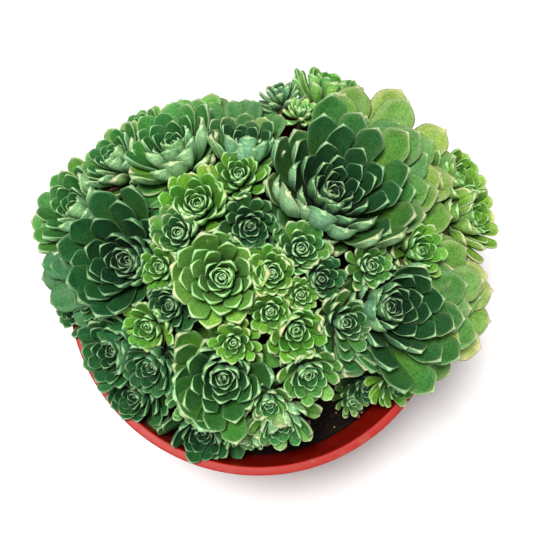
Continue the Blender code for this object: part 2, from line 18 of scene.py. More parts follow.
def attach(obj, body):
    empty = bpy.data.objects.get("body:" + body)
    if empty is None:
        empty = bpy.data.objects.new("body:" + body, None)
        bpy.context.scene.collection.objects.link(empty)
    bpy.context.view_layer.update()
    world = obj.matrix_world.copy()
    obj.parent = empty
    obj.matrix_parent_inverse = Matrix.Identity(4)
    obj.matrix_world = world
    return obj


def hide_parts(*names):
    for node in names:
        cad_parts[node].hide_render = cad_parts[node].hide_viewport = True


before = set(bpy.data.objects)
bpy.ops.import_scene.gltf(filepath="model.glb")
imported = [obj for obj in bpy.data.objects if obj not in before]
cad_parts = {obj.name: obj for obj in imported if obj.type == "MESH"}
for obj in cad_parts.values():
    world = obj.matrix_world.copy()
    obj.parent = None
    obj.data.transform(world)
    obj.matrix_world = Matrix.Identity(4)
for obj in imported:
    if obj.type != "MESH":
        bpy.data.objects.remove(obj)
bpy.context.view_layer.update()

MM = 0.001
SEED = 7

# The pot and the potting mix, as in the solids
POT_RADIUS = 65.0
POT_HEIGHT = 115.0
BASE_RADIUS = 46.0
WALL = 1.6
BASE_THICKNESS = 2.0
RIM_WIDTH = 2.9
RIM_BAND_HEIGHT = 13.0
RIM_STANDS_OUT = 1.3
DRAIN_HOLES = 8
DRAIN_HOLE_RADIUS = 4.0
DRAIN_CIRCLE_RADIUS = 34.0
SOIL_LEVEL = POT_HEIGHT - 16.0
SOIL_CROWN = 21.0
SOIL_EDGE_DIP = 4.0
SOIL_EDGE_WIDTH = 11.0

# The finer pot, from the middle of its floor over the rim to the middle of its base
POT_SIDES = 144
POT_MIDDLE = 5.0
FLOOR_CORNER = 1.0
LIP_DEPTH = 3.0
BAND_TAPER = 0.9
BAND_STEP = 0.6
FOOT_CORNER = 1.2
POT_ROUNDING = 0.45
ARC_STEPS, ARC_SHARE = 4, 0.4
PEG_SIDES = 24
PEG_STANDS_OUT = 3.0
SHARP_ANGLE = math.radians(35.0)

# The rough top of the potting mix, and its crumbs
SOIL_RINGS, SOIL_SIDES = 60, 180
SOIL_WALL_GAP = 0.5
SOIL_FLOOR_GAP = 0.3
SOIL_FOOT_GAP, SOIL_FOOT_RISE = 1.6, 2.0
WAVES = 26
WAVE_FREQUENCIES = (0.25, 1.4)
WAVE_HEIGHT = 0.22
SOIL_ROUGHNESS = 0.16
ABOUT_A_TURN = 6.28
CORNER_DISTANCE = 1.9
CRUMB_DENTS = (0.72, 1.25)
CRUMB_BREADTH = (0.6, 1.0)
CRUMB_HEIGHT = (0.4, 0.8)
CRUMB_LIFT = 0.3
CRUMB_WALL_GAP = 1.5
# Number, sizes, and darkest and lightest colour
CRUMBS = {
    "peat_crumbs": (1500, (0.8, 3.2), ((0.004, 0.003, 0.002), (0.07, 0.04, 0.024))),
    "bark_crumbs": (560, (0.9, 2.4), ((0.18, 0.11, 0.06), (0.9, 0.56, 0.34))),
}

# The dome that the rosettes' hearts lie on
DOME_CENTRE = np.array((4.0, 8.0, POT_HEIGHT + 3.0))
DOME_HALF = np.array((68.0, 61.0, 37.0))
GOLDEN_ANGLE = math.radians(137.508)
BUD_RISE = 0.28
CORE_BOTTOM = -0.62

# Stems. The thickness is a line, given by its value at 0 and its slope, and so are other values below.
STEM_BURIED = 3.0
STEM_RINGS, STEM_SIDES = 14, 10
STEM_RADIUS_BY_REACH = (1.0, 0.055)
SCAR_SWELL, SCAR_SPREAD = 0.12, 0.08
STEM_TOP = 0.7
TUBE_LEVEL = np.array((0.31, 0.95, 0.05))
STEM_SPREAD = 0.006
ROOT_LIMIT = 50.5
STRAIGHT_STEM_LIMIT = 60.0
KNEE_RADIUS = 53.5
KNEE_ABOVE_RIM = 3.6

# Room for leaves: the overlap of cells, which rosettes are neighbours, and how far off a neighbour is felt
CELL_OVERLAP = 0.08
NEIGHBOUR_REACH, NEIGHBOUR_GAP = 1.7, 6.0
FELT_REACH, FELT_GAP = 1.3, 2.0
FELT_BY_FANS = 0.35
GROUND_WEIGHT = 2.0
LOWEST_LEAF = POT_HEIGHT - 9.0
OBSTACLE_GAP = 0.8

# The camera, above the clump and a little towards its front
CAMERA_PLACE = Vector((-14.0, -52.0, 435.0))
CAMERA_TARGET = Vector((2.02, 3.74, 125.0))
CAMERA_LENS = 63.75
CAMERA_SENSOR = 36.0
CAMERA_NEAR = 0.01

# The studio
FLOOR_HALF = 3.0
SKY_STRENGTH = 0.26
LIGHT_AIM = Vector((0.0, 0.0, 0.12))
# Name, place, size, power and colour
LIGHTS = (
    ("key", (-0.14, 0.02, 1.1), 0.24, 13.2, (1.0, 1.0, 0.98)),
    ("fill", (0.1, -0.7, 0.8), 0.7, 1.6, (0.97, 0.99, 1.0)),
)
VIEW_GAMMA = 0.88

DARK, MID, BRIGHT, PALE, OLIVE = "leaf_dark", "leaf_mid", "leaf_bright", "leaf_pale", "leaf_olive"
# The deep tint is for rosettes that lie in shade, low at the edges and among others: its darker greens are
# partly their own and partly painted shade.
DEEP_AND_SHADED = "leaf_deep"

# Bearing and lean on the dome in degrees, reach, number of leaves and tint, and for some the bearing and lean
# that the rosette faces, and the share of the dome's size by which its heart lies inside it. Where a name has
# more rows than one, they are numbered from 1.
Rosette = namedtuple("Rosette", "name bearing lean reach leaves tint face inset", defaults=(None, 0.0))
ROSETTE_ROWS = {
    # The broad old rosettes
    "rosette_crown_back": ((42, 20, 28.5, 68, DARK, (45, 14)),),
    "rosette_right": ((327, 38, 27, 66, DARK, (340, 21)),),
    "rosette_front": ((251, 47, 22.5, 60, MID, (258, 16)),),
    "rosette_left": ((189, 43, 22, 60, DEEP_AND_SHADED, (203, 20)),),
    "rosette_centre": ((220, 19, 19.5, 54, PALE, (249, 7)),),
    "rosette_back_left": ((134, 42, 18.5, 50, MID, (125, 36)),),
    "rosette_left_edge": ((166, 77, 18.5, 50, MID, (160, 42)),),
    # Middle-sized rosettes
    "rosette_back_left_edge": ((148, 63, 13, 42, MID),),
    "rosette_back": ((108, 29, 14.5, 42, DARK, (92, 36)),),
    "rosette_crown_left": ((156, 23, 12.5, 42, BRIGHT, (150, 12)),),
    "rosette_front_edge": ((251, 92, 15, 42, DEEP_AND_SHADED, (255, 42)),),
    "rosette_back_edge": ((73, 75, 13, 42, BRIGHT, (74, 58)),),
    "rosette_right_edge": (
        (25, 78, 13.5, 42, OLIVE, (26, 40), -0.03), (12, 79, 13.5, 42, OLIVE, (4, 44), -0.02),
    ),
    "rosette_front_left": (
        (216, 66, 13, 42, DEEP_AND_SHADED, (215, 36)), (229, 93, 12, 42, DEEP_AND_SHADED, (228, 42)),
    ),
    "rosette_front_right": (
        (280, 28, 10.5, 36, BRIGHT), (272, 65, 11, 36, MID),
    ),
    # Small rosettes, from the crown down the front slope, and at the left, the right and the back
    "offset_crown": (
        (178, 26, 10, 36, MID), (119, 21, 9.5, 36, BRIGHT), (158, 8, 9, 36, DEEP_AND_SHADED, (280, 22)),
        (326, 7, 9, 36, MID), (262, 11, 9, 36, BRIGHT), (312, 17, 8, 30, DEEP_AND_SHADED, (330, 14), 0.03),
        (265, 22, 7, 30, BRIGHT), (289, 18, 5.5, 30, BRIGHT),
    ),
    "offset_front": (
        (282, 43, 10, 36, MID), (305, 31, 10, 36, DARK, (330, 22)), (250, 34, 7, 30, BRIGHT),
        (268, 54, 7.5, 30, MID), (263, 84, 8, 30, MID), (304, 103, 7, 30, DEEP_AND_SHADED, (300, 35), 0.13),
        (298, 109, 5.5, 30, MID, (300, 25), 0.06), (310, 86, 7.5, 30, BRIGHT, (305, 40), 0.06),
    ),
    "offset_left": (
        (215, 37, 10, 36, DEEP_AND_SHADED, None, 0.04), (217, 46, 8.5, 30, BRIGHT), (196, 33, 7.5, 30, BRIGHT),
        (228, 57, 10, 36, DEEP_AND_SHADED), (245, 65, 8, 30, MID), (198, 88, 8, 30, DEEP_AND_SHADED, (200, 44)),
        (197, 63, 8, 30, DEEP_AND_SHADED),
    ),
    "offset_right": (
        (341, 26, 7.5, 30, MID), (356, 41, 9.5, 36, BRIGHT),
    ),
    "offset_back": (
        (88, 58, 6.5, 30, DARK, (104, 56)), (80, 47, 5, 30, PALE),
        (133, 82, 10, 36, MID, (133, 48), 0.04),
    ),
}
ROSETTES = [
    Rosette(f"{name}_{number}" if len(rows) > 1 else name, *row)
    for name, rows in ROSETTE_ROWS.items()
    for number, row in enumerate(rows, 1)
]

# Long old leaves that hang or spread outward from a rosette: bearing, length and share of autumn colour, and
# for some how many degrees they rise from the rosette's own plane, and their share of dryness
Hanging = namedtuple("Hanging", "bearing length autumn rise dry", defaults=(-5.0, 0.0))
HANGING_LEAVES = {
    "rosette_crown_back": (
        (72, 43, 0.3), (57, 49, 0.5), (42, 52, 0.5), (28, 50, 0.3), (12, 45, 0.5), (355, 42, 0.3),
        (337, 36, 0.25), (214, 25, 0.0, -8), (197, 25, 0.0, -8), (324, 38, 0.3, -8, 0.8),
    ),
    "rosette_right": (
        (34, 37, 0.3), (20, 41, 0.45), (7, 42, 0.45), (354, 42, 0.3), (342, 39, 0.85), (329, 34, 0.22),
        (315, 30, 0.2), (299, 24, 0.15), (282, 21, 0.1, 6), (264, 20, 0.05, 10), (247, 22, 0.0, 2),
        (235, 26, 0.0, -5),
    ),
    "rosette_left": (
        (168, 28, 0.0), (182, 32, 0.0), (196, 33, 0.04), (210, 31, 0.06), (226, 28, 0.02),
        (243, 27, 0.05, 4),
    ),
    "rosette_back": ((66, 29, 0.1), (84, 32, 0.2), (102, 33, 0.1), (120, 31, 0.1)),
    "rosette_back_left": (
        (84, 29, 0.1), (102, 31, 0.15), (214, 22, 0.02, -18), (238, 23, 0.02, -24), (262, 23, 0.02, -28),
        (286, 22, 0.02, -28), (310, 21, 0.02, -28),
    ),
    "rosette_back_edge": ((8, 17, 0.4), (30, 18, 0.35), (52, 17, 0.25), (225, 12, 0.3, -10, 1.0)),
    "rosette_centre": ((17, 21, 0.45, 12), (355, 21, 0.5, 12)),
    "rosette_left_edge": ((258, 19, 1.0),),
    "offset_left_6": ((150, 10, 1.0),),
    "offset_front_7": ((300, 8, 0.4, -5, 1.0),),
}

# A leaf's outline. The body: half the width, as a share of the widest, at shares of the body's length
BODY = ((0.0, 0.36), (0.2, 0.41), (0.42, 0.55), (0.64, 0.77), (0.84, 0.94))
# The tip: distances from the end in half widths, and the same shares there for obtuse and for round tips
TIP = (
    (1.05, 1.0, 1.0), (0.72, 0.97, 0.985), (0.5, 0.86, 0.93), (0.3, 0.65, 0.8), (0.13, 0.36, 0.56),
    (0.03, 0.13, 0.26),
)
# The strip at the margin that is rounded off, and the least and most share of the half width inside it
LIP = 0.5
INSIDE_LIP = (0.45, 0.93)
HALFWAY = 0.52
# Leaves wider than this have a finer face
FINE_WIDTH = 2.0
ROUNDING, ROUNDED_FROM = 0.28, 0.99
# The leaf's thickness along its length, and its fullness across
THICKNESS_BY_SWELL = (0.6, 0.7)
THICKNESS_POWER = 0.8
PLUMPNESS = 3.2
KEEL = 0.16
KEEL_STARTS, KEEL_SPAN = 0.55, 0.3
MUCRO = 0.1
# The curl grows along the leaf by this power, counted in this many points
BEND = 1.8
BEND_POINTS = 25
# Closeness to the margin is counted from this far inside it, and along the leaf by this share of the distance
EDGE = 2.2
EDGE_ALONG = 0.8
MARGIN = 0.26
OLD_MARGIN = 0.55
# Places along and across a leaf where its room is felt
SAMPLE_STATIONS = np.array((0.35, 0.62, 0.84, 1.0))
SAMPLE_WIDTHS = np.array((0.55, 0.85, 1.0, 0.1))
SAMPLE_ACROSS = np.tile((-1.0, 0.0, 1.0), (len(SAMPLE_STATIONS), 1))

# How a leaf changes with age, from the bud (0) to the outermost ring (1), in small rosettes and in broad
# ones. Lengths and widths are shares of the reach, pitch and curl are in degrees, and cup is the depth over
# the half width.
Habit = namedtuple("Habit", "length width pitch curl cup")
AGES = (0.0, 0.1, 0.25, 0.5, 0.75, 1.0)
SMALL_HABIT = Habit(
    length=(0.28, 0.44, 0.62, 0.82, 0.95, 1.0),
    width=(0.1, 0.23, 0.32, 0.38, 0.41, 0.42),
    pitch=(88, 82, 73, 58, 40, 24),
    curl=(8, 14, 20, 26, 30, 34),
    cup=(0.6, 0.55, 0.46, 0.38, 0.3, 0.22),
)
BROAD_HABIT = Habit(
    length=(0.2, 0.33, 0.5, 0.74, 0.95, 1.08),
    width=(0.07, 0.14, 0.19, 0.25, 0.33, 0.41),
    pitch=(88, 77, 64, 46, 28, 12),
    curl=(8, 18, 30, 44, 54, 52),
    cup=(0.6, 0.52, 0.46, 0.38, 0.3, 0.24),
)
SMALL_REACH, BROAD_REACH = 9.0, 28.0

# How leaves of one age differ: spans of shares, then the usual difference of azimuth in radians, of pitch and
# curl in degrees, of cup, and of roll and yaw in radians
LENGTH_SPREAD, WIDTH_SPREAD = (0.95, 1.06), (0.93, 1.07)
LEAF_SPREADS = (0.05, 2.5, 4.0, 0.04, 0.12, 0.04)
# A leaf's greatest width over its length, its thickness by age and by the rosette's reach, where it springs
# from by age, and how round its tip is
BROADEST = 0.78
THICKNESS_BY_AGE, THICKNESS_BY_REACH = (0.25, 0.75), (0.75, 0.05)
ROOT_OUT, ROOT_UP = (0.012, 0.075), (0.03, -0.22)
ROUNDNESS, ROUND_SOONER = (0.1, 0.9), 1.25

# How a leaf is stood up or kept short in its room, what that costs, and the ages that it begins at
LIFTS = np.radians((-16, -8, 0, 8, 16, 24, 34))
GROWTHS = (1.45, 1.3, 1.15, 1.0, 0.9, 0.8, 0.7, 0.6, 0.5)
LIFT_COST = ((12.0, 22.0), (1.2, 3.2))
OUTSIDE_COST, GROWTH_WORTH = 0.8, 2.2
WIDTH_BY_GROWTH = (0.55, 0.45)
STEEPEST_TIP = math.radians(97.0)
LEAST_CURL = 0.1
LONGEST_AGES, LONGEST_BY_REACH = (0.1, 0.9), ((8.0, 28.0), (1.2, 1.15))
FITTED_AGE = 0.35
FIRST_LEAF_TURN = 7.0

# The ages that turn yellow, how much, and the share of that which the darker rosettes have
AUTUMN_FROM, AUTUMN_SPAN = 0.72, 0.28
AUTUMN_MOST = 0.55
TURNED = {DEEP_AND_SHADED: 0.15, DARK: 0.6, MID: 0.6}
# The curl in degrees of leaves in skirts and fans
OLD_CURL = 34.0

# The skirt of older leaves low on a stem. Broader rosettes than SKIRT_REACH have hanging leaves in its place.
SKIRT_REACH = 23.0
SKIRT_LEAVES, SKIRT_SPACING = 8, 4.0
SKIRT_LONGEST = ((8.0, 18.0, 24.0), (1.3, 1.15, 0.85))
SKIRT_OUT, SKIRT_UP = 0.07, (-0.24, -0.3)
SKIRT_PITCH, SKIRT_SPREADS = (8.0, -14.0), (4.0, 6.0)
SKIRT_LENGTH = (0.96, -0.1)
SKIRT_AUTUMN = 0.28
DRY_BELOW, DRY_CHANCE = 0.55, 0.3
DRY_WIDTH, DRY_LENGTH = 0.7, 0.85
DRY_LEAF = {"thick": 0.35, "cup": 0.9}

# The rows of a fan of hanging leaves: share of the full length, rise and turn in degrees, share of its autumn
FAN_ROWS = ((1.0, 0.0, 0.0, 1.0), (0.87, 7.0, 8.0, 0.75), (0.74, 16.0, -5.0, 0.4))
FAN_SPREADS = (2.0, 4.0)
FAN_WIDTH, DRY_FAN_WIDTH = 0.46, 0.55
FAN_LEAF, DRY_FAN_LEAF = {"thick": 2.1, "cup": 0.16}, {"thick": 0.5, "cup": 0.8}
FAN_AUTUMN_SPREAD = (0.7, 1.1)

# Leaf colours, linear: the face of young leaves, darkened past their own colour by painted shade of the
# heart, and of old ones, the under side, and the colour of age. Then blush, the age at which margins are
# pink, fringe, how pale the hairs make tips and margins, and base, how bright the leaf's base is
Palette = namedtuple("Palette", "young grown under autumn blush fringe base")
PALETTES = {
    # Partly painted shade: darker than the dark tint, for the rosettes that lie in shade.
    DEEP_AND_SHADED: Palette(
        (0.002, 0.026, 0.011), (0.022, 0.16, 0.048), (0.09, 0.3, 0.14), (0.2, 0.3, 0.08),
        0.12, 0.55, 0.4,
    ),
    DARK: Palette(
        (0.003, 0.034, 0.013), (0.04, 0.2, 0.058), (0.3, 0.59, 0.36), (0.42, 0.47, 0.12),
        0.5, 0.8, 0.75,
    ),
    MID: Palette(
        (0.018, 0.115, 0.03), (0.068, 0.31, 0.07), (0.42, 0.74, 0.44), (0.42, 0.47, 0.12),
        0.55, 0.9, 0.9,
    ),
    BRIGHT: Palette(
        (0.034, 0.18, 0.015), (0.13, 0.43, 0.038), (0.27, 0.6, 0.17), (0.44, 0.52, 0.1),
        0.25, 0.9, 1.0,
    ),
    PALE: Palette(
        (0.095, 0.35, 0.07), (0.35, 0.74, 0.17), (0.34, 0.63, 0.31), (0.44, 0.52, 0.17),
        0.55, 1.0, 1.0,
    ),
    OLIVE: Palette(
        (0.085, 0.27, 0.016), (0.22, 0.47, 0.04), (0.33, 0.58, 0.13), (0.48, 0.5, 0.11),
        0.8, 1.0, 1.0,
    ),
}
MARGIN_COLOUR = (0.52, 0.74, 0.4)
BLUSH_COLOUR = (0.78, 0.54, 0.42)
LEAF_BASE_COLOUR = (0.14, 0.37, 0.01)
TURNING_COLOUR = (0.21, 0.48, 0.04)
SHADE_COLOUR = (0.002, 0.018, 0.006)
HAIR_COLOUR = (0.47, 0.76, 0.42)
DRY_COLOURS = ((0.19, 0.11, 0.055), (0.07, 0.035, 0.018))
# What a leaf's colour is multiplied by: two shades of leaf, blotches, grain, and the painted shade in a strip
# inside the margin on the under side
LEAF_SHADES = ((0.45, 0.55, 0.6), (1.9, 1.45, 1.2))
BLOTCH = (0.78, 0.82, 0.8)
DARK_GRAIN, LIGHT_GRAIN = (0.66, 0.74, 0.68), (1.5, 1.34, 1.42)
UNDER_EDGE_SHADE = (0.45, 0.62, 0.5)
# Other colours, linear, the darker of two first
STEM_COLOURS = ((0.02, 0.03, 0.01), (0.09, 0.065, 0.035))
SOIL_COLOURS = ((0.002, 0.0015, 0.001), (0.034, 0.022, 0.014))
POT_COLOURS = ((0.4, 0.009, 0.003), (0.46, 0.014, 0.005))
FADED_COLOUR = (0.37, 0.036, 0.03)
SCUFF_COLOUR = (0.66, 0.34, 0.28)
DUST_COLOUR = (0.36, 0.25, 0.18)
SPLASH_COLOUR = (0.2, 0.13, 0.09)
FLOOR_COLOUR = (0.86, 0.86, 0.86)
# Noise and cells, in waves for each metre
MOTTLE_SCALE, GRAIN_SCALE, HAIR_SCALE = 260.0, 1500.0, 2600.0
BEAD_SCALE, BEAD_GAP_SCALE = 1300.0, 230.0
BARK_SCALE, SCAR_SCALE = 420.0, 260.0
HAZE_SCALE, GRIME_SCALE, SCUFF_SCALE, MOULD_SCALE = 22.0, 70.0, 160.0, 1600.0
PEAT_SCALE, CLOD_SCALE, PIT_SCALE = 520.0, 110.0, 700.0
SCUFF_STRETCH = (1.0, 1.0, 9.0)
FADED_HEIGHTS = ((POT_HEIGHT - 1.6) * MM, (POT_HEIGHT - 0.2) * MM)
SPLASH_HEIGHTS = (0.004, 0.035)


def direction(bearing, lean):
    """Unit vector that leans from +Z by lean towards bearing, both in degrees."""
    b, t = math.radians(bearing), math.radians(lean)
    return np.array((math.sin(t) * math.cos(b), math.sin(t) * math.sin(b), math.cos(t)))


def unit(vector):
    return vector / np.linalg.norm(vector)


def line(terms, at):
    """The straight line through terms[0] at 0 with the slope terms[1]."""
    return terms[0] + terms[1] * at


def circle(sides, shift=0.0):
    """Points of the unit circle at height 0, from +X on, turned by shift sides."""
    angles = (np.arange(sides) + shift) * 2 * np.pi / sides
    return np.column_stack((np.cos(angles), np.sin(angles), np.zeros(sides)))


def facing(rosette):
    if rosette.face:
        return direction(*rosette.face)
    return unit(direction(rosette.bearing, rosette.lean) / DOME_HALF)


def heart(rosette):
    """Where the rosette's leaves spring from."""
    offset = direction(rosette.bearing, rosette.lean) * DOME_HALF
    return DOME_CENTRE + offset * (1.0 - rosette.inset) - facing(rosette) * BUD_RISE * rosette.reach


def axis_matrix(axis, level):
    """A rotation whose Z is axis and whose X is the part of level that is square to it, as columns."""
    x = unit(level - axis * level.dot(axis))
    return np.column_stack((x, np.cross(axis, x), axis))


def own_axes(rosette):
    b = math.radians(rosette.bearing)
    return axis_matrix(facing(rosette), np.array((-math.sin(b), math.cos(b), 0.0)))


def pot_outer_radius(z):
    return BASE_RADIUS + (POT_RADIUS - RIM_STANDS_OUT - BASE_RADIUS) * z / POT_HEIGHT


def pot_inner_radius(z):
    return pot_outer_radius(z) - WALL


def soil_height(radius):
    edge = pot_inner_radius(SOIL_LEVEL)
    share = np.minimum(1.0, radius / edge)
    return SOIL_LEVEL + SOIL_CROWN * (1.0 - share * share) ** 2


def settled_height(radius):
    """The potting mix as it lies after watering, sunk a little where it has shrunk from the wall."""
    edge = pot_inner_radius(SOIL_LEVEL)
    share = np.clip((radius - edge + SOIL_EDGE_WIDTH) / SOIL_EDGE_WIDTH, 0.0, 1.0)
    return soil_height(radius) - SOIL_EDGE_DIP * share * share * (3.0 - 2.0 * share)


def stem_line(rosette):
    """The stem's middle line from just under the potting mix to the rosette's heart."""
    centre = heart(rosette)
    radius = math.hypot(centre[0], centre[1])
    rise = centre[2] - soil_height(radius)
    root_radius = min(ROOT_LIMIT, radius - STEM_SPREAD * radius * rise)
    share = root_radius / radius
    root = np.array((centre[0] * share, centre[1] * share, soil_height(root_radius)))
    top = centre + facing(rosette) * CORE_BOTTOM * rosette.reach
    points = [root - STEM_BURIED * unit(top - root), root]
    if radius >= STRAIGHT_STEM_LIMIT:
        share = KNEE_RADIUS / radius
        points.append(np.array((centre[0] * share, centre[1] * share, POT_HEIGHT + KNEE_ABOVE_RIM)))
    return points + [top, centre]


class Room:
    """The space that a rosette may fill: its own cell, the air over the potting mix, and outside the pot."""

    def __init__(self, rosette):
        self.centre, self.axes = heart(rosette), own_axes(rosette)
        self.reach = rosette.reach
        neighbours = []
        for other in ROSETTES:
            if other is rosette:
                continue
            away = heart(other) - self.centre
            distance = np.linalg.norm(away)
            reaches = rosette.reach + other.reach
            if distance > NEIGHBOUR_REACH * reaches + NEIGHBOUR_GAP:
                continue
            normal = away / distance
            overlap = CELL_OVERLAP * min(rosette.reach, other.reach)
            limit = normal.dot(self.centre) + distance * (rosette.reach / reaches) + overlap
            neighbours.append((normal, limit, heart(other), FELT_REACH * other.reach + FELT_GAP))
        self.normals, self.limits, self.others, self.felt = map(np.array, zip(*neighbours))

    def placed(self, points):
        """Points in the rosette's own axes, brought to their place on the clump."""
        return self.centre + points @ self.axes.T

    def for_fans(self):
        """The same room, where a neighbour is felt only close to its heart."""
        self.felt = self.felt * FELT_BY_FANS
        return self

    def trespass(self, points):
        """How far, in all, the points lie outside the room, in millimetres."""
        over = points @ self.normals.T - self.limits
        near = np.linalg.norm(points[:, None, :] - self.others[None, :, :], axis=2) < self.felt
        total = np.where(near, np.maximum(over, 0.0), 0.0).max(axis=1).sum()
        radius = np.hypot(points[:, 0], points[:, 1])
        ground = soil_height(radius) + OBSTACLE_GAP
        inside = radius < POT_RADIUS - RIM_WIDTH - OBSTACLE_GAP
        outside = radius > POT_RADIUS + OBSTACLE_GAP
        floor = np.where(inside, ground, np.where(outside, LOWEST_LEAF, POT_HEIGHT + OBSTACLE_GAP))
        return total + np.maximum(floor - points[:, 2], 0.0).sum() * GROUND_WEIGHT


Leaf = namedtuple("Leaf", "azimuth length width thick pitch curl root cup roll yaw round age kind")


def outline(leaf):
    """Stations along the leaf, as shares of its length, and its half width at each, in millimetres."""
    half = leaf.width / 2
    tip = TIP[0][0] * half / leaf.length
    stations = [s * (1.0 - tip) for s, _ in BODY]
    widths = [w for _, w in BODY]
    for distance, obtuse, rounder in TIP:
        stations.append(1.0 - distance * half / leaf.length)
        widths.append(obtuse + (rounder - obtuse) * leaf.round)
    return np.array(stations), np.array(widths) * half


def leaf_surface(leaf, stations, half, across, lower):
    """Points of a leaf in its rosette's own axes, with X out along the leaf and Z up the rosette's axis.

    stations are shares of the length. across holds shares of the half width, one row for each station.
    lower is true for the under side.
    """
    fine = np.linspace(0.0, 1.0, BEND_POINTS)
    slopes = leaf.pitch + leaf.curl * fine**BEND
    middle = (slopes[1:] + slopes[:-1]) / 2
    step = leaf.length / (len(fine) - 1)
    out = np.concatenate(((0.0,), np.cumsum(np.cos(middle)) * step)) + leaf.root[0]
    up = np.concatenate(((0.0,), np.cumsum(np.sin(middle)) * step)) + leaf.root[1]
    x = np.interp(stations, fine, out)
    z = np.interp(stations, fine, up)
    slope = leaf.pitch + leaf.curl * stations**BEND
    past = np.maximum(stations - 1.0, 0.0) * leaf.length
    x = x + past * np.cos(slope)
    z = z + past * np.sin(slope)
    y = across * half[:, None]
    rise = leaf.cup * half[:, None] * across**2
    rise = rise - ROUNDING * leaf.thick * (np.abs(across) > ROUNDED_FROM)
    if lower:
        swell = np.sin(np.pi * np.minimum(stations, 1.0)) ** THICKNESS_POWER
        body = leaf.thick * line(THICKNESS_BY_SWELL, swell)
        rise = rise - body[:, None] * (1.0 - np.abs(across) ** PLUMPNESS)
        keel = leaf.thick * KEEL * np.clip((stations - KEEL_STARTS) / KEEL_SPAN, 0.0, 1.0)
        rise = rise - keel[:, None] * (1.0 - np.abs(across))
    twist = leaf.roll * stations[:, None]
    y, rise = y * np.cos(twist) - rise * np.sin(twist), y * np.sin(twist) + rise * np.cos(twist)
    points = np.empty(across.shape + (3,))
    points[..., 0] = x[:, None] - rise * np.sin(slope)[:, None]
    points[..., 1] = y + (x - leaf.root[0])[:, None] * math.tan(leaf.yaw)
    points[..., 2] = z[:, None] + rise * np.cos(slope)[:, None]
    c, s = math.cos(leaf.azimuth), math.sin(leaf.azimuth)
    return points @ np.array(((c, s, 0.0), (-s, c, 0.0), (0.0, 0.0, 1.0)))


def crowding(leaf, room):
    """How far, in all, the leaf lies outside its room, in millimetres."""
    half = SAMPLE_WIDTHS * leaf.width / 2
    points = leaf_surface(leaf, SAMPLE_STATIONS, half, SAMPLE_ACROSS, False)
    return room.trespass(room.placed(points.reshape(-1, 3)))


def usual_leaf(rosette, order, azimuth, rng):
    """A leaf of its rosette, where nothing crowds it. order runs from 0 at the bud to 1 outermost."""
    reach = rosette.reach
    small = np.interp(reach, (SMALL_REACH, BROAD_REACH), (1.0, 0.0))
    length, width, pitch, curl, cup = (
        small * np.interp(order, AGES, few) + (1.0 - small) * np.interp(order, AGES, many)
        for few, many in zip(SMALL_HABIT, BROAD_HABIT)
    )
    length *= reach * rng.uniform(*LENGTH_SPREAD)
    width *= reach * rng.uniform(*WIDTH_SPREAD)
    turn, lift, bend, depth, roll, yaw = rng.normal(0.0, LEAF_SPREADS)
    return Leaf(
        azimuth=azimuth + turn,
        length=length,
        width=min(width, length * BROADEST),
        thick=line(THICKNESS_BY_AGE, order) * line(THICKNESS_BY_REACH, reach),
        pitch=math.radians(pitch + lift),
        curl=math.radians(curl + bend),
        root=(reach * line(ROOT_OUT, order), line(ROOT_UP, order) * reach),
        cup=cup + depth,
        roll=roll,
        yaw=yaw,
        round=line(ROUNDNESS, min(1.0, ROUND_SOONER * small)),
        age=order,
        kind=(rng.random(), rng.random(), 0.0, 0.0),
    )


def fitted(leaf, room, longest):
    """The leaf stood up, laid down or kept short so that it stays in its room."""
    best, least = None, math.inf
    lift_cost = np.interp(room.reach, *LIFT_COST)
    for lift in LIFTS:
        for growth in sorted({min(growth, longest) for growth in GROWTHS}):
            pitch = leaf.pitch + lift
            new = leaf._replace(
                pitch=pitch,
                curl=min(leaf.curl, max(STEEPEST_TIP - pitch, LEAST_CURL)),
                length=leaf.length * growth,
                width=leaf.width * line(WIDTH_BY_GROWTH, growth),
            )
            cost = crowding(new, room) * OUTSIDE_COST + abs(lift) * lift_cost - GROWTH_WORTH * growth
            if cost < least:
                best, least = new, cost
    return best


def aged(leaf, rosette, autumn, dry=0.0):
    return leaf._replace(kind=(*leaf.kind[:2], autumn * TURNED.get(rosette.tint, 1.0), dry))


def rosette_leaves(rosette, room, rng):
    """The leaves of the rosette itself, then those that stand or hang below it."""
    turn = math.radians(rosette.bearing * FIRST_LEAF_TURN)
    leaves = []
    for k in range(rosette.leaves):
        order = k / (rosette.leaves - 1)
        leaf = usual_leaf(rosette, order, turn + k * GOLDEN_ANGLE, rng)
        autumn = max(0.0, order - AUTUMN_FROM) / AUTUMN_SPAN * rng.uniform(0.0, AUTUMN_MOST)
        leaf = aged(leaf, rosette, autumn)
        longest = np.interp(order, LONGEST_AGES, (1.0, np.interp(rosette.reach, *LONGEST_BY_REACH)))
        leaves.append(fitted(leaf, room, longest) if order > FITTED_AGE else leaf)
    if rosette.reach < SKIRT_REACH:
        leaves += skirt_leaves(rosette, room, rng, turn + rosette.leaves * GOLDEN_ANGLE)
    return leaves + hanging_leaves(rosette, rng)


def tilted(leaf, pitch, spreads, rng):
    """The leaf at another pitch in degrees and with the curl of old leaves, give or take the spreads."""
    lift, bend = rng.normal(0.0, spreads)
    return leaf._replace(pitch=math.radians(pitch + lift), curl=math.radians(OLD_CURL + bend))


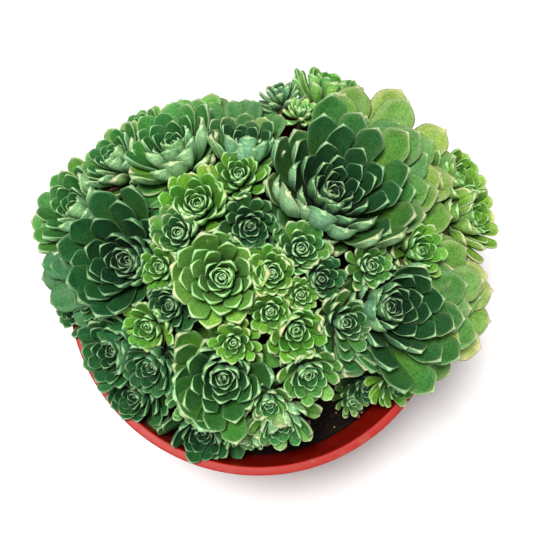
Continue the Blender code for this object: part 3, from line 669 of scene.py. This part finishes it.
def skirt_leaves(rosette, room, rng, turn):
    """Older leaves lower on the stem, which fill the gaps between rosettes. Some of the lowest are dry."""
    count = SKIRT_LEAVES + int(rosette.reach / SKIRT_SPACING)
    longest = np.interp(rosette.reach, *SKIRT_LONGEST)
    leaves = []
    for k in range(count):
        share = k / (count - 1)
        leaf = usual_leaf(rosette, 1.0, turn + k * GOLDEN_ANGLE, rng)
        dry = 1.0 if share > DRY_BELOW and rng.random() < DRY_CHANCE else 0.0
        leaf = tilted(leaf, line(SKIRT_PITCH, share), SKIRT_SPREADS, rng)._replace(
            root=(SKIRT_OUT * rosette.reach, line(SKIRT_UP, share) * rosette.reach),
            length=leaf.length * line(SKIRT_LENGTH, share),
        )
        leaf = aged(leaf, rosette, rng.uniform(0.0, SKIRT_AUTUMN), dry)
        if dry:
            leaf = leaf._replace(width=leaf.width * DRY_WIDTH, length=leaf.length * DRY_LENGTH, **DRY_LEAF)
        leaves.append(fitted(leaf, room, longest))
    return leaves


def hanging_leaves(rosette, rng):
    """Fans of long old leaves, each fan in rows above one another."""
    room = Room(rosette).for_fans()
    leaves = []
    for values in HANGING_LEAVES.get(rosette.name, ()):
        hanging = Hanging(*values)
        for share, rise, turn, autumn in FAN_ROWS:
            along = room.axes.T @ direction(hanging.bearing + turn, 90.0)
            leaf = usual_leaf(rosette, 1.0, math.atan2(along[1], along[0]), rng)
            leaf = tilted(leaf, rise + hanging.rise, FAN_SPREADS, rng)._replace(
                length=hanging.length * share,
                width=rosette.reach * FAN_WIDTH,
                kind=(*leaf.kind[:2], hanging.autumn * autumn * rng.uniform(*FAN_AUTUMN_SPREAD), hanging.dry),
                **FAN_LEAF,
            )
            if hanging.dry:
                leaf = leaf._replace(width=leaf.width * DRY_FAN_WIDTH, **DRY_FAN_LEAF)
            leaves.append(fitted(leaf, room, 1.0))
    return leaves


def across_shares(half, fine):
    """Shares of the half width for the face's points, with a narrow strip at each margin."""
    inner = np.clip(1.0 - LIP / half, *INSIDE_LIP)
    columns = [np.ones_like(inner), inner]
    if fine:
        columns.append(inner * HALFWAY)
    columns += [np.zeros_like(inner)] + [-c for c in columns[::-1]]
    return np.column_stack(columns)


def grid_faces(stations, ring):
    """Quads of a tube whose rings follow each other, then the fans that close its two ends."""
    faces = []
    for i in range(stations - 1):
        for j in range(ring):
            k = (j + 1) % ring
            faces.append((i * ring + j, (i + 1) * ring + j, (i + 1) * ring + k, i * ring + k))
    base, tip = stations * ring, stations * ring + 1
    last = (stations - 1) * ring
    for j in range(ring):
        k = (j + 1) % ring
        faces.append((j, k, base))
        faces.append((last + k, last + j, tip))
    return faces


def leaf_mesh(leaf):
    """Vertices, faces and the two attributes of one closed leaf, in its rosette's own axes."""
    stations, half = outline(leaf)
    across = across_shares(half, leaf.width > FINE_WIDTH)
    upper = leaf_surface(leaf, stations, half, across, False)
    backs = across[:, 1:-1][:, ::-1]
    lower = leaf_surface(leaf, stations, half, backs, True)
    rings = np.concatenate((upper, lower), axis=1)
    beyond = 1.0 + MUCRO * leaf.width / 2 / leaf.length
    tip = leaf_surface(leaf, np.array((beyond,)), np.zeros(1), np.zeros((1, 1)), False)[0]
    base = rings[0].mean(axis=0, keepdims=True)
    verts = np.concatenate((rings.reshape(-1, 3), base, tip))
    shares = np.concatenate((across, backs), axis=1)
    side = half[:, None] * (1.0 - np.abs(shares))
    end = (1.0 - stations)[:, None] * leaf.length * EDGE_ALONG
    edge = np.clip(1.0 - np.minimum(side, end) / EDGE, 0.0, 1.0)
    place = np.empty((len(verts), 4))
    place[:, 0] = np.append(edge.ravel(), (0.0, 1.0))
    place[:, 1] = np.append(np.repeat(stations, rings.shape[1]), (0.0, 1.0))
    under = np.concatenate((np.zeros_like(across), np.ones_like(backs)), axis=1)
    place[:, 2] = np.append(under.ravel(), (0.5, 0.5))
    place[:, 3] = leaf.age
    kind = np.tile(leaf.kind, (len(verts), 1))
    return verts, grid_faces(*rings.shape[:2]), place, kind


def tube(points, radii, sides):
    """A closed tube through points, as vertices and faces."""
    points = [np.array(p) for p in points]
    verts = []
    for i, point in enumerate(points):
        ahead = points[min(i + 1, len(points) - 1)] - points[max(i - 1, 0)]
        verts.append(point + circle(sides) * radii[i] @ axis_matrix(unit(ahead), TUBE_LEVEL).T)
    verts = np.concatenate(verts + [points[:1], points[-1:]])
    return verts, [face[::-1] for face in grid_faces(len(points), sides)]


def stem_mesh(rosette, rng):
    """The stem with its swollen leaf scars, as vertices and faces."""
    middle = stem_line(rosette)
    lengths = [0.0] + list(np.cumsum([np.linalg.norm(b - a) for a, b in zip(middle, middle[1:])]))
    marks = np.linspace(0.0, lengths[-1], STEM_RINGS)
    points = [np.array([np.interp(m, lengths, [p[i] for p in middle]) for i in range(3)]) for m in marks]
    base = line(STEM_RADIUS_BY_REACH, rosette.reach)
    radii = []
    for i in range(STEM_RINGS):
        radii.append(base * (1.0 + SCAR_SWELL * (i % 2) + rng.uniform(-SCAR_SPREAD, SCAR_SPREAD)))
    radii[-1] *= STEM_TOP
    return tube(points, radii, STEM_SIDES)


def joined(parts):
    """The vertices and faces of several meshes as those of one."""
    verts, faces = [], []
    start = 0
    for points, new in parts:
        verts.append(points)
        faces += [tuple(i + start for i in face) for face in new]
        start += len(points)
    return np.concatenate(verts), faces


def new_mesh(name, verts, faces, materials=(), smooth=True):
    """A mesh from vertices in millimetres."""
    mesh = bpy.data.meshes.new(name)
    mesh.from_pydata((verts * MM).tolist(), [], faces)
    for material in materials:
        mesh.materials.append(material)
    if smooth:
        mesh.shade_smooth()
    return mesh


def new_object(name, data):
    obj = bpy.data.objects.new(name, data)
    bpy.context.scene.collection.objects.link(obj)
    return obj


def add_piece(name, mesh, node=None):
    obj = new_object(name, mesh)
    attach(obj, "root")
    if node:
        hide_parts(node)


def build_rosette(rosette, index, leaf_finish, stem_finish):
    rng = np.random.default_rng(SEED * 1000 + index)
    room = Room(rosette)
    parts, places, kinds = [], [], []
    for leaf in rosette_leaves(rosette, room, rng):
        points, faces, place, kind = leaf_mesh(leaf)
        parts.append((room.placed(points), faces))
        places.append(place)
        kinds.append(kind)
    leaf_faces = sum(len(faces) for _, faces in parts)
    points, stem_faces = stem_mesh(rosette, rng)
    parts.append((points, stem_faces))
    for values in (places, kinds):
        values.append(np.zeros((len(points), 4)))
    name = rosette.name + "_fine"
    mesh = new_mesh(name, *joined(parts), (leaf_finish, stem_finish))
    for attribute, values in (("leaf_place", places), ("leaf_kind", kinds)):
        layer = mesh.attributes.new(attribute, "FLOAT_COLOR", "POINT")
        layer.data.foreach_set("color", np.concatenate(values).astype(np.float32).ravel())
    mesh.polygons.foreach_set("material_index", [0] * leaf_faces + [1] * len(stem_faces))
    mesh.update()
    add_piece(name, mesh, rosette.name)


class Tree:
    """A short way to write a material's nodes."""

    def __init__(self, name):
        self.material = bpy.data.materials.new(name)
        self.material.use_nodes = True
        self.nodes = self.material.node_tree.nodes
        self.links = self.material.node_tree.links
        self.shader = self.nodes["Principled BSDF"]

    def put(self, socket, value):
        if isinstance(value, bpy.types.NodeSocket):
            self.links.new(value, socket)
        elif isinstance(value, (tuple, list)) and len(value) == 3 and socket.type == "RGBA":
            socket.default_value = (*value, 1.0)
        else:
            socket.default_value = value

    def node(self, kind, inputs=(), **settings):
        new = self.nodes.new(kind)
        for key, value in settings.items():
            setattr(new, key, value)
        for key, value in dict(inputs).items():
            self.put(new.inputs[key], value)
        return new

    def math(self, operation, a, b=0.0, clamp=False):
        return self.node("ShaderNodeMath", {0: a, 1: b}, operation=operation, use_clamp=clamp).outputs[0]

    def times(self, a, b):
        return self.math("MULTIPLY", a, b)

    def mix(self, share, a, b, blend="MIX"):
        new = self.node("ShaderNodeMix", data_type="RGBA", blend_type=blend, clamp_factor=True)
        self.put(new.inputs["Factor"], share)
        self.put(new.inputs["A"], a)
        self.put(new.inputs["B"], b)
        return new.outputs["Result"]

    def tinted(self, colour, tint):
        return self.mix(1.0, colour, tint, "MULTIPLY")

    def ramp(self, value, from_low, from_high, low=0.0, high=1.0):
        """value brought from the span from_low..from_high to low..high, and held there."""
        spans = {0: value, 1: from_low, 2: from_high, 3: low, 4: high}
        return self.node("ShaderNodeMapRange", spans, clamp=True).outputs[0]

    def object_place(self):
        return self.node("ShaderNodeTexCoord").outputs["Object"]

    def noise(self, scale, detail=2.0, roughness=0.5, place=None):
        inputs = {"Vector": place or self.object_place(), "Scale": scale, "Detail": detail}
        inputs["Roughness"] = roughness
        return self.node("ShaderNodeTexNoise", inputs).outputs["Fac"]

    def cells(self, scale):
        inputs = {"Vector": self.object_place(), "Scale": scale}
        return self.node("ShaderNodeTexVoronoi", inputs).outputs["Distance"]

    def upward(self, vector):
        return self.node("ShaderNodeSeparateXYZ", {"Vector": vector}).outputs["Z"]

    def attribute(self, name):
        """The four channels of a colour attribute."""
        source = self.node("ShaderNodeAttribute", attribute_name=name)
        split = self.node("ShaderNodeSeparateColor", {"Color": source.outputs["Color"]})
        return (*(split.outputs[i] for i in range(3)), source.outputs["Alpha"])

    def bump(self, height, strength, distance):
        inputs = {"Height": height, "Strength": strength, "Distance": distance}
        self.put(self.shader.inputs["Normal"], self.node("ShaderNodeBump", inputs).outputs["Normal"])

    def finish(self, colour, roughness, **sockets):
        self.put(self.shader.inputs["Base Color"], colour)
        self.put(self.shader.inputs["Roughness"], roughness)
        for key, value in sockets.items():
            self.put(self.shader.inputs[key.replace("_", " ")], value)
        return self.material


def dimmed(colour, share):
    return tuple(channel * share for channel in colour)


def leaf_face(tree, palette, along, age):
    """Dark in the heart, partly by painted shade, outwards yellow-green low down and bluish at the tip, and
    with painted shade at the base.
    """
    grown = tree.ramp(age, 0.1, 0.95)
    low = tree.times(tree.ramp(along, 0.35, 0.88, 0.9, 0.0), tree.ramp(age, 0.45, 0.95, 0.0, 0.85))
    shade = tree.times(tree.ramp(along, 0.3, 0.96, 0.97, 0.0), tree.ramp(age, 0.5, 1.0, 1.0, 0.62))
    # The young colour is partly the young leaves' own dark green and partly painted shade of the rosette's
    # heart.
    face = tree.mix(grown, palette.young, palette.grown)
    face = tree.mix(low, face, dimmed(LEAF_BASE_COLOUR, palette.base))
    return tree.mix(shade, face, SHADE_COLOUR)


def leaf_back(tree, palette, along, age):
    """Paler than the face, palest at the tip, and yellow-green at the base."""
    back = tree.mix(tree.ramp(age, 0.14, 0.7), palette.grown, palette.under)
    # Painted shade: the backs of young leaves are darkened towards the young colour, as the heart lies in
    # shade.
    back = tree.mix(tree.ramp(age, 0.0, 0.42, 0.9, 0.0), back, palette.young)
    back = tree.mix(tree.ramp(along, 0.8, 1.0, 0.0, 0.42 * palette.fringe), back, HAIR_COLOUR)
    return tree.mix(tree.ramp(along, 0.1, 0.5, 0.4, 0.0), back, dimmed(LEAF_BASE_COLOUR, palette.base))


def with_autumn(tree, colour, palette, along, autumn):
    """Old leaves turn olive and yellow, most towards their tips."""
    turning = tree.ramp(autumn, 0.0, 0.4, 0.0, 0.8)
    turned_tip = tree.times(tree.ramp(autumn, 0.25, 0.9), tree.ramp(along, 0.3, 0.8, 0.45, 1.0))
    colour = tree.mix(turning, colour, dimmed(TURNING_COLOUR, palette.base))
    return tree.mix(turned_tip, colour, palette.autumn)


def with_grain(tree, colour, randoms, mottle, hairs):
    """Each leaf is its own shade, and its surface is mottled and finely speckled with short hairs."""
    for random, shade in zip(randoms, LEAF_SHADES):
        colour = tree.mix(tree.ramp(random, 0.0, 1.0, 0.0, 0.5), colour, tree.tinted(colour, shade))
    clear = tree.ramp(mottle, 0.36, 0.66)
    colour = tree.mix(clear, tree.tinted(colour, BLOTCH), colour)
    grain = tree.ramp(tree.noise(GRAIN_SCALE, 3.0, 0.7), 0.36, 0.66)
    colour = tree.mix(grain, tree.tinted(colour, DARK_GRAIN), tree.tinted(colour, LIGHT_GRAIN))
    return tree.mix(tree.times(hairs, 0.1), colour, HAIR_COLOUR)


def with_margin(tree, colour, palette, place, second, autumn):
    """A soft band of pale hairs inside the margin, painted shade behind it on the under side, and a fine
    beaded line on it.

    The line turns pink on some old leaves, and so do their tips.
    """
    edge, along, under, age = place
    # Painted shade: the under side is darkened in a strip inside the margin, so that each leaf stands apart
    # from its neighbours.
    under_edge_shade = tree.times(tree.ramp(edge, 0.22, 0.74, 0.0, 0.8), under)
    colour = tree.mix(under_edge_shade, colour, tree.tinted(colour, UNDER_EDGE_SHADE))
    band = tree.times(tree.math("POWER", edge, 3.0), tree.ramp(age, 0.1, 0.9, 0.1, 0.32))
    band = tree.times(band, tree.ramp(under, 0.0, 1.0, 1.0, 0.2))
    colour = tree.mix(band, colour, tree.mix(0.32 * palette.fringe, colour, HAIR_COLOUR))
    own = tree.times(tree.ramp(age, 0.45, 0.95, 0.0, palette.blush), tree.ramp(second, 0.25, 0.85))
    blush = tree.math("MAXIMUM", tree.math("MULTIPLY", autumn, 1.5, clamp=True), own)
    beads = tree.ramp(tree.noise(BEAD_SCALE, 1.0), 0.35, 0.6, 0.45, 1.0)
    beads = tree.times(beads, tree.ramp(along, 0.35, 0.85, 0.5, 1.0))
    beads = tree.times(beads, tree.ramp(tree.noise(BEAD_GAP_SCALE, 2.0), 0.38, 0.58, 0.55, 1.0))
    beads = tree.times(beads, tree.ramp(under, 0.0, 1.0, 0.72 * palette.fringe, 1.05 * palette.fringe))
    begins = tree.ramp(blush, 0.0, 1.0, 1.0 - MARGIN / EDGE, 1.0 - OLD_MARGIN / EDGE)
    begins = tree.math("SUBTRACT", begins, tree.times(under, 0.05))
    rim = tree.ramp(edge, begins, tree.math("ADD", begins, 0.06))
    pink = tree.times(blush, tree.ramp(along, 0.3, 0.8, 0.3, 1.0))
    colour = tree.mix(tree.times(rim, beads), colour, tree.mix(pink, MARGIN_COLOUR, BLUSH_COLOUR))
    tinge = tree.times(tree.ramp(along, 0.66, 1.0, 0.0, 0.45), blush)
    return tree.mix(tree.times(tinge, tree.ramp(edge, 0.0, 1.0, 0.04, 1.0)), colour, BLUSH_COLOUR)


def leaf_material(name, palette):
    tree = Tree(name)
    edge, along, under, age = tree.attribute("leaf_place")
    first, second, autumn, dry = tree.attribute("leaf_kind")
    mottle = tree.noise(MOTTLE_SCALE, 5.0, 0.65)
    hairs = tree.ramp(tree.cells(HAIR_SCALE), 0.1, 0.42, 1.0, 0.0)
    colour = tree.mix(under, leaf_face(tree, palette, along, age), leaf_back(tree, palette, along, age))
    colour = with_autumn(tree, colour, palette, along, autumn)
    colour = with_grain(tree, colour, (first, second), mottle, hairs)
    colour = with_margin(tree, colour, palette, (edge, along, under, age), second, autumn)
    colour = tree.mix(dry, colour, tree.mix(mottle, *DRY_COLOURS))
    tree.bump(tree.math("ADD", tree.times(hairs, 0.7), tree.noise(GRAIN_SCALE, 3.0)), 0.45, 0.00015)
    return tree.finish(
        colour,
        0.5,
        Sheen_Weight=0.05,
        Sheen_Roughness=0.35,
        Sheen_Tint=(0.7, 0.95, 0.75),
        Subsurface_Weight=0.1,
        Subsurface_Radius=(0.5, 1.0, 0.35),
        Subsurface_Scale=0.0012,
        Specular_IOR_Level=0.3,
    )


def stem_material():
    """Rough bark."""
    tree = Tree("stem_bark")
    grain = tree.noise(BARK_SCALE, 4.0, 0.65)
    tree.bump(tree.math("ADD", grain, tree.cells(SCAR_SCALE)), 0.8, 0.0004)
    return tree.finish(tree.mix(grain, *STEM_COLOURS), 0.8)


def pot_material():
    """Moulded plastic, faded and chalky on the rim, with fine scuffs, dust and dried splashes."""
    tree = Tree("pot_plastic_fine")
    place = tree.object_place()
    high = tree.upward(place)
    level = tree.upward(tree.node("ShaderNodeNewGeometry").outputs["Normal"])
    grime = tree.noise(GRIME_SCALE, 6.0, 0.7)
    stretched = tree.node("ShaderNodeMapping", {"Vector": place, "Scale": SCUFF_STRETCH}).outputs[0]
    scuffs = tree.ramp(tree.noise(SCUFF_SCALE, 3.0, 0.7, stretched), 0.62, 0.7)
    rim = tree.ramp(high, *FADED_HEIGHTS)
    faded = tree.times(rim, tree.ramp(level, 0.2, 0.9))
    dust = tree.times(tree.ramp(grime, 0.52, 0.75), tree.ramp(level, 0.0, 1.0, 0.12, 0.5))
    splash = tree.times(tree.ramp(high, *SPLASH_HEIGHTS, 0.5, 0.0), tree.ramp(grime, 0.4, 0.7))
    colour = tree.mix(tree.noise(HAZE_SCALE, 5.0, 0.6), *POT_COLOURS)
    colour = tree.mix(tree.times(faded, 0.75), colour, FADED_COLOUR)
    colour = tree.mix(tree.times(scuffs, 0.2), colour, SCUFF_COLOUR)
    colour = tree.mix(dust, colour, DUST_COLOUR)
    colour = tree.mix(splash, colour, SPLASH_COLOUR)
    roughness = tree.ramp(tree.math("ADD", grime, scuffs), 0.3, 1.3, 0.36, 0.62)
    tree.bump(tree.math("ADD", tree.noise(MOULD_SCALE, 2.0), tree.times(scuffs, 0.5)), 0.12, 0.0002)
    return tree.finish(colour, roughness, Specular_IOR_Level=0.14)


def soil_material(name, dark, light):
    tree = Tree(name)
    grain = tree.noise(PEAT_SCALE, 5.0, 0.7)
    clods = tree.noise(CLOD_SCALE, 3.0, 0.6)
    tree.bump(tree.math("ADD", grain, tree.cells(PIT_SCALE)), 0.9, 0.0006)
    return tree.finish(tree.mix(tree.times(grain, clods), dark, light), 0.95, Specular_IOR_Level=0.25)


def floor_material():
    return Tree("floor_plain").finish(FLOOR_COLOUR, 0.7, Specular_IOR_Level=0.2)


def turned(profile, sides):
    """A solid of revolution from (radius, height) points, read from its inside over its rim and down."""
    verts = [circle(sides) * radius + (0.0, 0.0, height) for radius, height in profile]
    poles = [(0.0, 0.0, profile[0][1]), (0.0, 0.0, profile[-1][1])]
    return np.concatenate(verts + [poles]), grid_faces(len(profile), sides)


def rounded(points, radius):
    """A profile with each corner between its ends rounded, as a plain arc between its two sides."""
    new = [points[0]]
    for before, here, after in zip(points, points[1:], points[2:]):
        here = np.array(here)
        back, ahead = np.array(before) - here, np.array(after) - here
        size = min(radius, np.linalg.norm(back) * ARC_SHARE, np.linalg.norm(ahead) * ARC_SHARE)
        start = here + unit(back) * size
        end = here + unit(ahead) * size
        for step in range(ARC_STEPS + 1):
            t = step / ARC_STEPS
            new.append(tuple((1 - t) ** 2 * start + 2 * t * (1 - t) * here + t * t * end))
    return new + [points[-1]]


def drain_hole_cutters():
    """Upright pegs through the pot's floor, as one mesh."""
    high, low = (0.0, 0.0, BASE_THICKNESS + PEG_STANDS_OUT), (0.0, 0.0, -PEG_STANDS_OUT)
    pegs = []
    for centre in circle(DRAIN_HOLES) * DRAIN_CIRCLE_RADIUS:
        ring = circle(PEG_SIDES, 0.5) * DRAIN_HOLE_RADIUS + centre
        verts = np.concatenate((ring + high, ring + low, [centre + high, centre + low]))
        pegs.append((verts, grid_faces(2, PEG_SIDES)))
    return new_mesh("drain_hole_cutters", *joined(pegs), smooth=False)


def with_drain_holes(mesh):
    """A copy of the pot's mesh with the holes cut through its floor."""
    pot = new_object("pot_whole", mesh)
    cutter = new_object("pot_cutter", drain_hole_cutters())
    cut = pot.modifiers.new("holes", "BOOLEAN")
    cut.operation = "DIFFERENCE"
    cut.solver = "EXACT"
    cut.object = cutter
    graph = bpy.context.evaluated_depsgraph_get()
    drained = bpy.data.meshes.new_from_object(pot.evaluated_get(graph))
    for obj in (pot, cutter):
        bpy.data.objects.remove(obj)
    drained.set_sharp_from_angle(angle=SHARP_ANGLE)
    return drained


def build_pot(material):
    band_bottom = POT_HEIGHT - RIM_BAND_HEIGHT
    lip_bottom = POT_HEIGHT - LIP_DEPTH
    profile = [
        (POT_MIDDLE, BASE_THICKNESS),
        (pot_inner_radius(BASE_THICKNESS) - FLOOR_CORNER, BASE_THICKNESS),
        (pot_inner_radius(lip_bottom), lip_bottom),
        (POT_RADIUS - RIM_WIDTH, POT_HEIGHT),
        (POT_RADIUS, POT_HEIGHT),
        (POT_RADIUS - BAND_TAPER, band_bottom),
        (pot_outer_radius(band_bottom), band_bottom - BAND_STEP),
        (BASE_RADIUS, FOOT_CORNER),
        (BASE_RADIUS - FOOT_CORNER, 0.0),
        (POT_MIDDLE, 0.0),
    ]
    mesh = new_mesh("pot_fine", *turned(rounded(profile, POT_ROUNDING), POT_SIDES), (material,))
    add_piece("pot_fine", with_drain_holes(mesh), "pot")


def crumb(rng, size):
    """A small lump with flat broken sides, about size across, as vertices and faces."""
    phi = (1 + math.sqrt(5)) / 2
    corners = [(-1, phi, 0), (1, phi, 0), (-1, -phi, 0), (1, -phi, 0), (0, -1, phi), (0, 1, phi)]
    corners += [(0, -1, -phi), (0, 1, -phi), (phi, 0, -1), (phi, 0, 1), (-phi, 0, -1), (-phi, 0, 1)]
    faces = [(0, 11, 5), (0, 5, 1), (0, 1, 7), (0, 7, 10), (0, 10, 11), (1, 5, 9), (5, 11, 4), (11, 10, 2)]
    faces += [(10, 7, 6), (7, 1, 8), (3, 9, 4), (3, 4, 2), (3, 2, 6), (3, 6, 8), (3, 8, 9), (4, 9, 5)]
    faces += [(2, 4, 11), (6, 2, 10), (8, 6, 7), (9, 8, 1)]
    verts = np.array(corners) / CORNER_DISTANCE * size / 2
    dents = rng.uniform(*CRUMB_DENTS, (len(corners), 1))
    verts = verts * dents * np.array((1.0, rng.uniform(*CRUMB_BREADTH), rng.uniform(*CRUMB_HEIGHT)))
    turn = Matrix.Rotation(rng.uniform(0, ABOUT_A_TURN), 3, Vector(rng.normal(size=3)).normalized())
    return verts @ np.array(turn).T, faces


def relief(waves, x, y):
    """How much a sum of waves raises or lowers the potting mix."""
    total = np.zeros_like(x)
    for frequency, phase in waves:
        total += np.sin(x * frequency[0] + y * frequency[1] + phase) / (1.0 + np.abs(frequency).sum())
    return total * WAVE_HEIGHT


def build_soil(material):
    """The potting mix, rough and clodded on top, closed below."""
    rng = np.random.default_rng(SEED)
    edge = pot_inner_radius(SOIL_LEVEL - SOIL_EDGE_DIP) - SOIL_WALL_GAP
    waves = []
    for _ in range(WAVES):
        frequency = rng.uniform(*WAVE_FREQUENCIES, 2) * rng.choice((-1, 1), 2)
        waves.append((frequency, rng.uniform(0, ABOUT_A_TURN)))
    verts = []
    for i in range(1, SOIL_RINGS + 1):
        radius = edge * i / SOIL_RINGS
        ring = circle(SOIL_SIDES) * radius
        z = settled_height(np.full(SOIL_SIDES, radius)) + relief(waves, ring[:, 0], ring[:, 1])
        ring[:, 2] = z + rng.normal(0.0, SOIL_ROUGHNESS, SOIL_SIDES)
        verts.append(ring)
    low = BASE_THICKNESS + SOIL_FLOOR_GAP
    foot = (pot_inner_radius(low + SOIL_FOOT_RISE) - SOIL_FOOT_GAP) / edge
    verts.append(verts[-1] * (foot, foot, 0.0) + (0.0, 0.0, low))
    poles = [(0.0, 0.0, soil_height(0.0)), (0.0, 0.0, low)]
    faces = grid_faces(SOIL_RINGS + 1, SOIL_SIDES)
    mesh = new_mesh("soil_fine", np.concatenate(verts + [poles]), faces, (material,))
    add_piece("soil_fine", mesh, "soil")


def scatter(name, count, sizes, material, rng):
    """Crumbs that lie on the potting mix."""
    edge = pot_inner_radius(SOIL_LEVEL - SOIL_EDGE_DIP) - CRUMB_WALL_GAP
    crumbs = []
    for _ in range(count):
        size = rng.uniform(*sizes)
        points, faces = crumb(rng, size)
        radius = (edge - size / 2) * math.sqrt(rng.random())
        angle = rng.uniform(0.0, 2 * math.pi)
        height = settled_height(radius) + size * CRUMB_LIFT
        crumbs.append((points + (radius * math.cos(angle), radius * math.sin(angle), height), faces))
    add_piece(name, new_mesh(name, *joined(crumbs), (material,), smooth=False))


def add_camera():
    camera = bpy.data.cameras.new("camera")
    camera.lens = CAMERA_LENS
    camera.sensor_width = CAMERA_SENSOR
    camera.clip_start = CAMERA_NEAR
    obj = new_object("camera", camera)
    obj.location = CAMERA_PLACE * MM
    look = (CAMERA_TARGET - CAMERA_PLACE).normalized()
    right = look.cross(Vector((0.0, 1.0, 0.0))).normalized()
    up = right.cross(look)
    obj.rotation_euler = Matrix((right, up, -look)).transposed().to_euler()
    bpy.context.scene.camera = obj


def add_light(name, place, size, power, colour):
    light = bpy.data.lights.new(name, "AREA")
    light.shape = "DISK"
    light.size = size
    light.energy = power
    light.color = colour
    obj = new_object(name, light)
    obj.location = place
    obj.rotation_euler = (LIGHT_AIM - Vector(place)).to_track_quat("-Z", "Y").to_euler()


def add_stage():
    corners = np.array(((-1, -1, 0), (1, -1, 0), (1, 1, 0), (-1, 1, 0))) * FLOOR_HALF / MM
    mesh = new_mesh("floor", corners, [(0, 1, 2, 3)], (floor_material(),), smooth=False)
    new_object("floor", mesh)
    world = bpy.data.worlds.new("studio")
    bpy.context.scene.world = world
    world.use_nodes = True
    sky = world.node_tree.nodes["Background"]
    sky.inputs["Color"].default_value = (1.0, 1.0, 1.0, 1.0)
    sky.inputs["Strength"].default_value = SKY_STRENGTH
    for light in LIGHTS:
        add_light(*light)
    bpy.context.scene.view_settings.view_transform = "Standard"
    bpy.context.scene.view_settings.gamma = VIEW_GAMMA


def main():
    add_camera()
    add_stage()
    build_pot(pot_material())
    build_soil(soil_material("potting_mix_fine", *SOIL_COLOURS))
    rng = np.random.default_rng(SEED + 1)
    for name, (count, sizes, colours) in CRUMBS.items():
        scatter(name, count, sizes, soil_material(name, *colours), rng)
    stems = stem_material()
    leaves = {tint: leaf_material(tint + "_fine", palette) for tint, palette in PALETTES.items()}
    for index, rosette in enumerate(ROSETTES):
        build_rosette(rosette, index, leaves[rosette.tint], stems)


main()
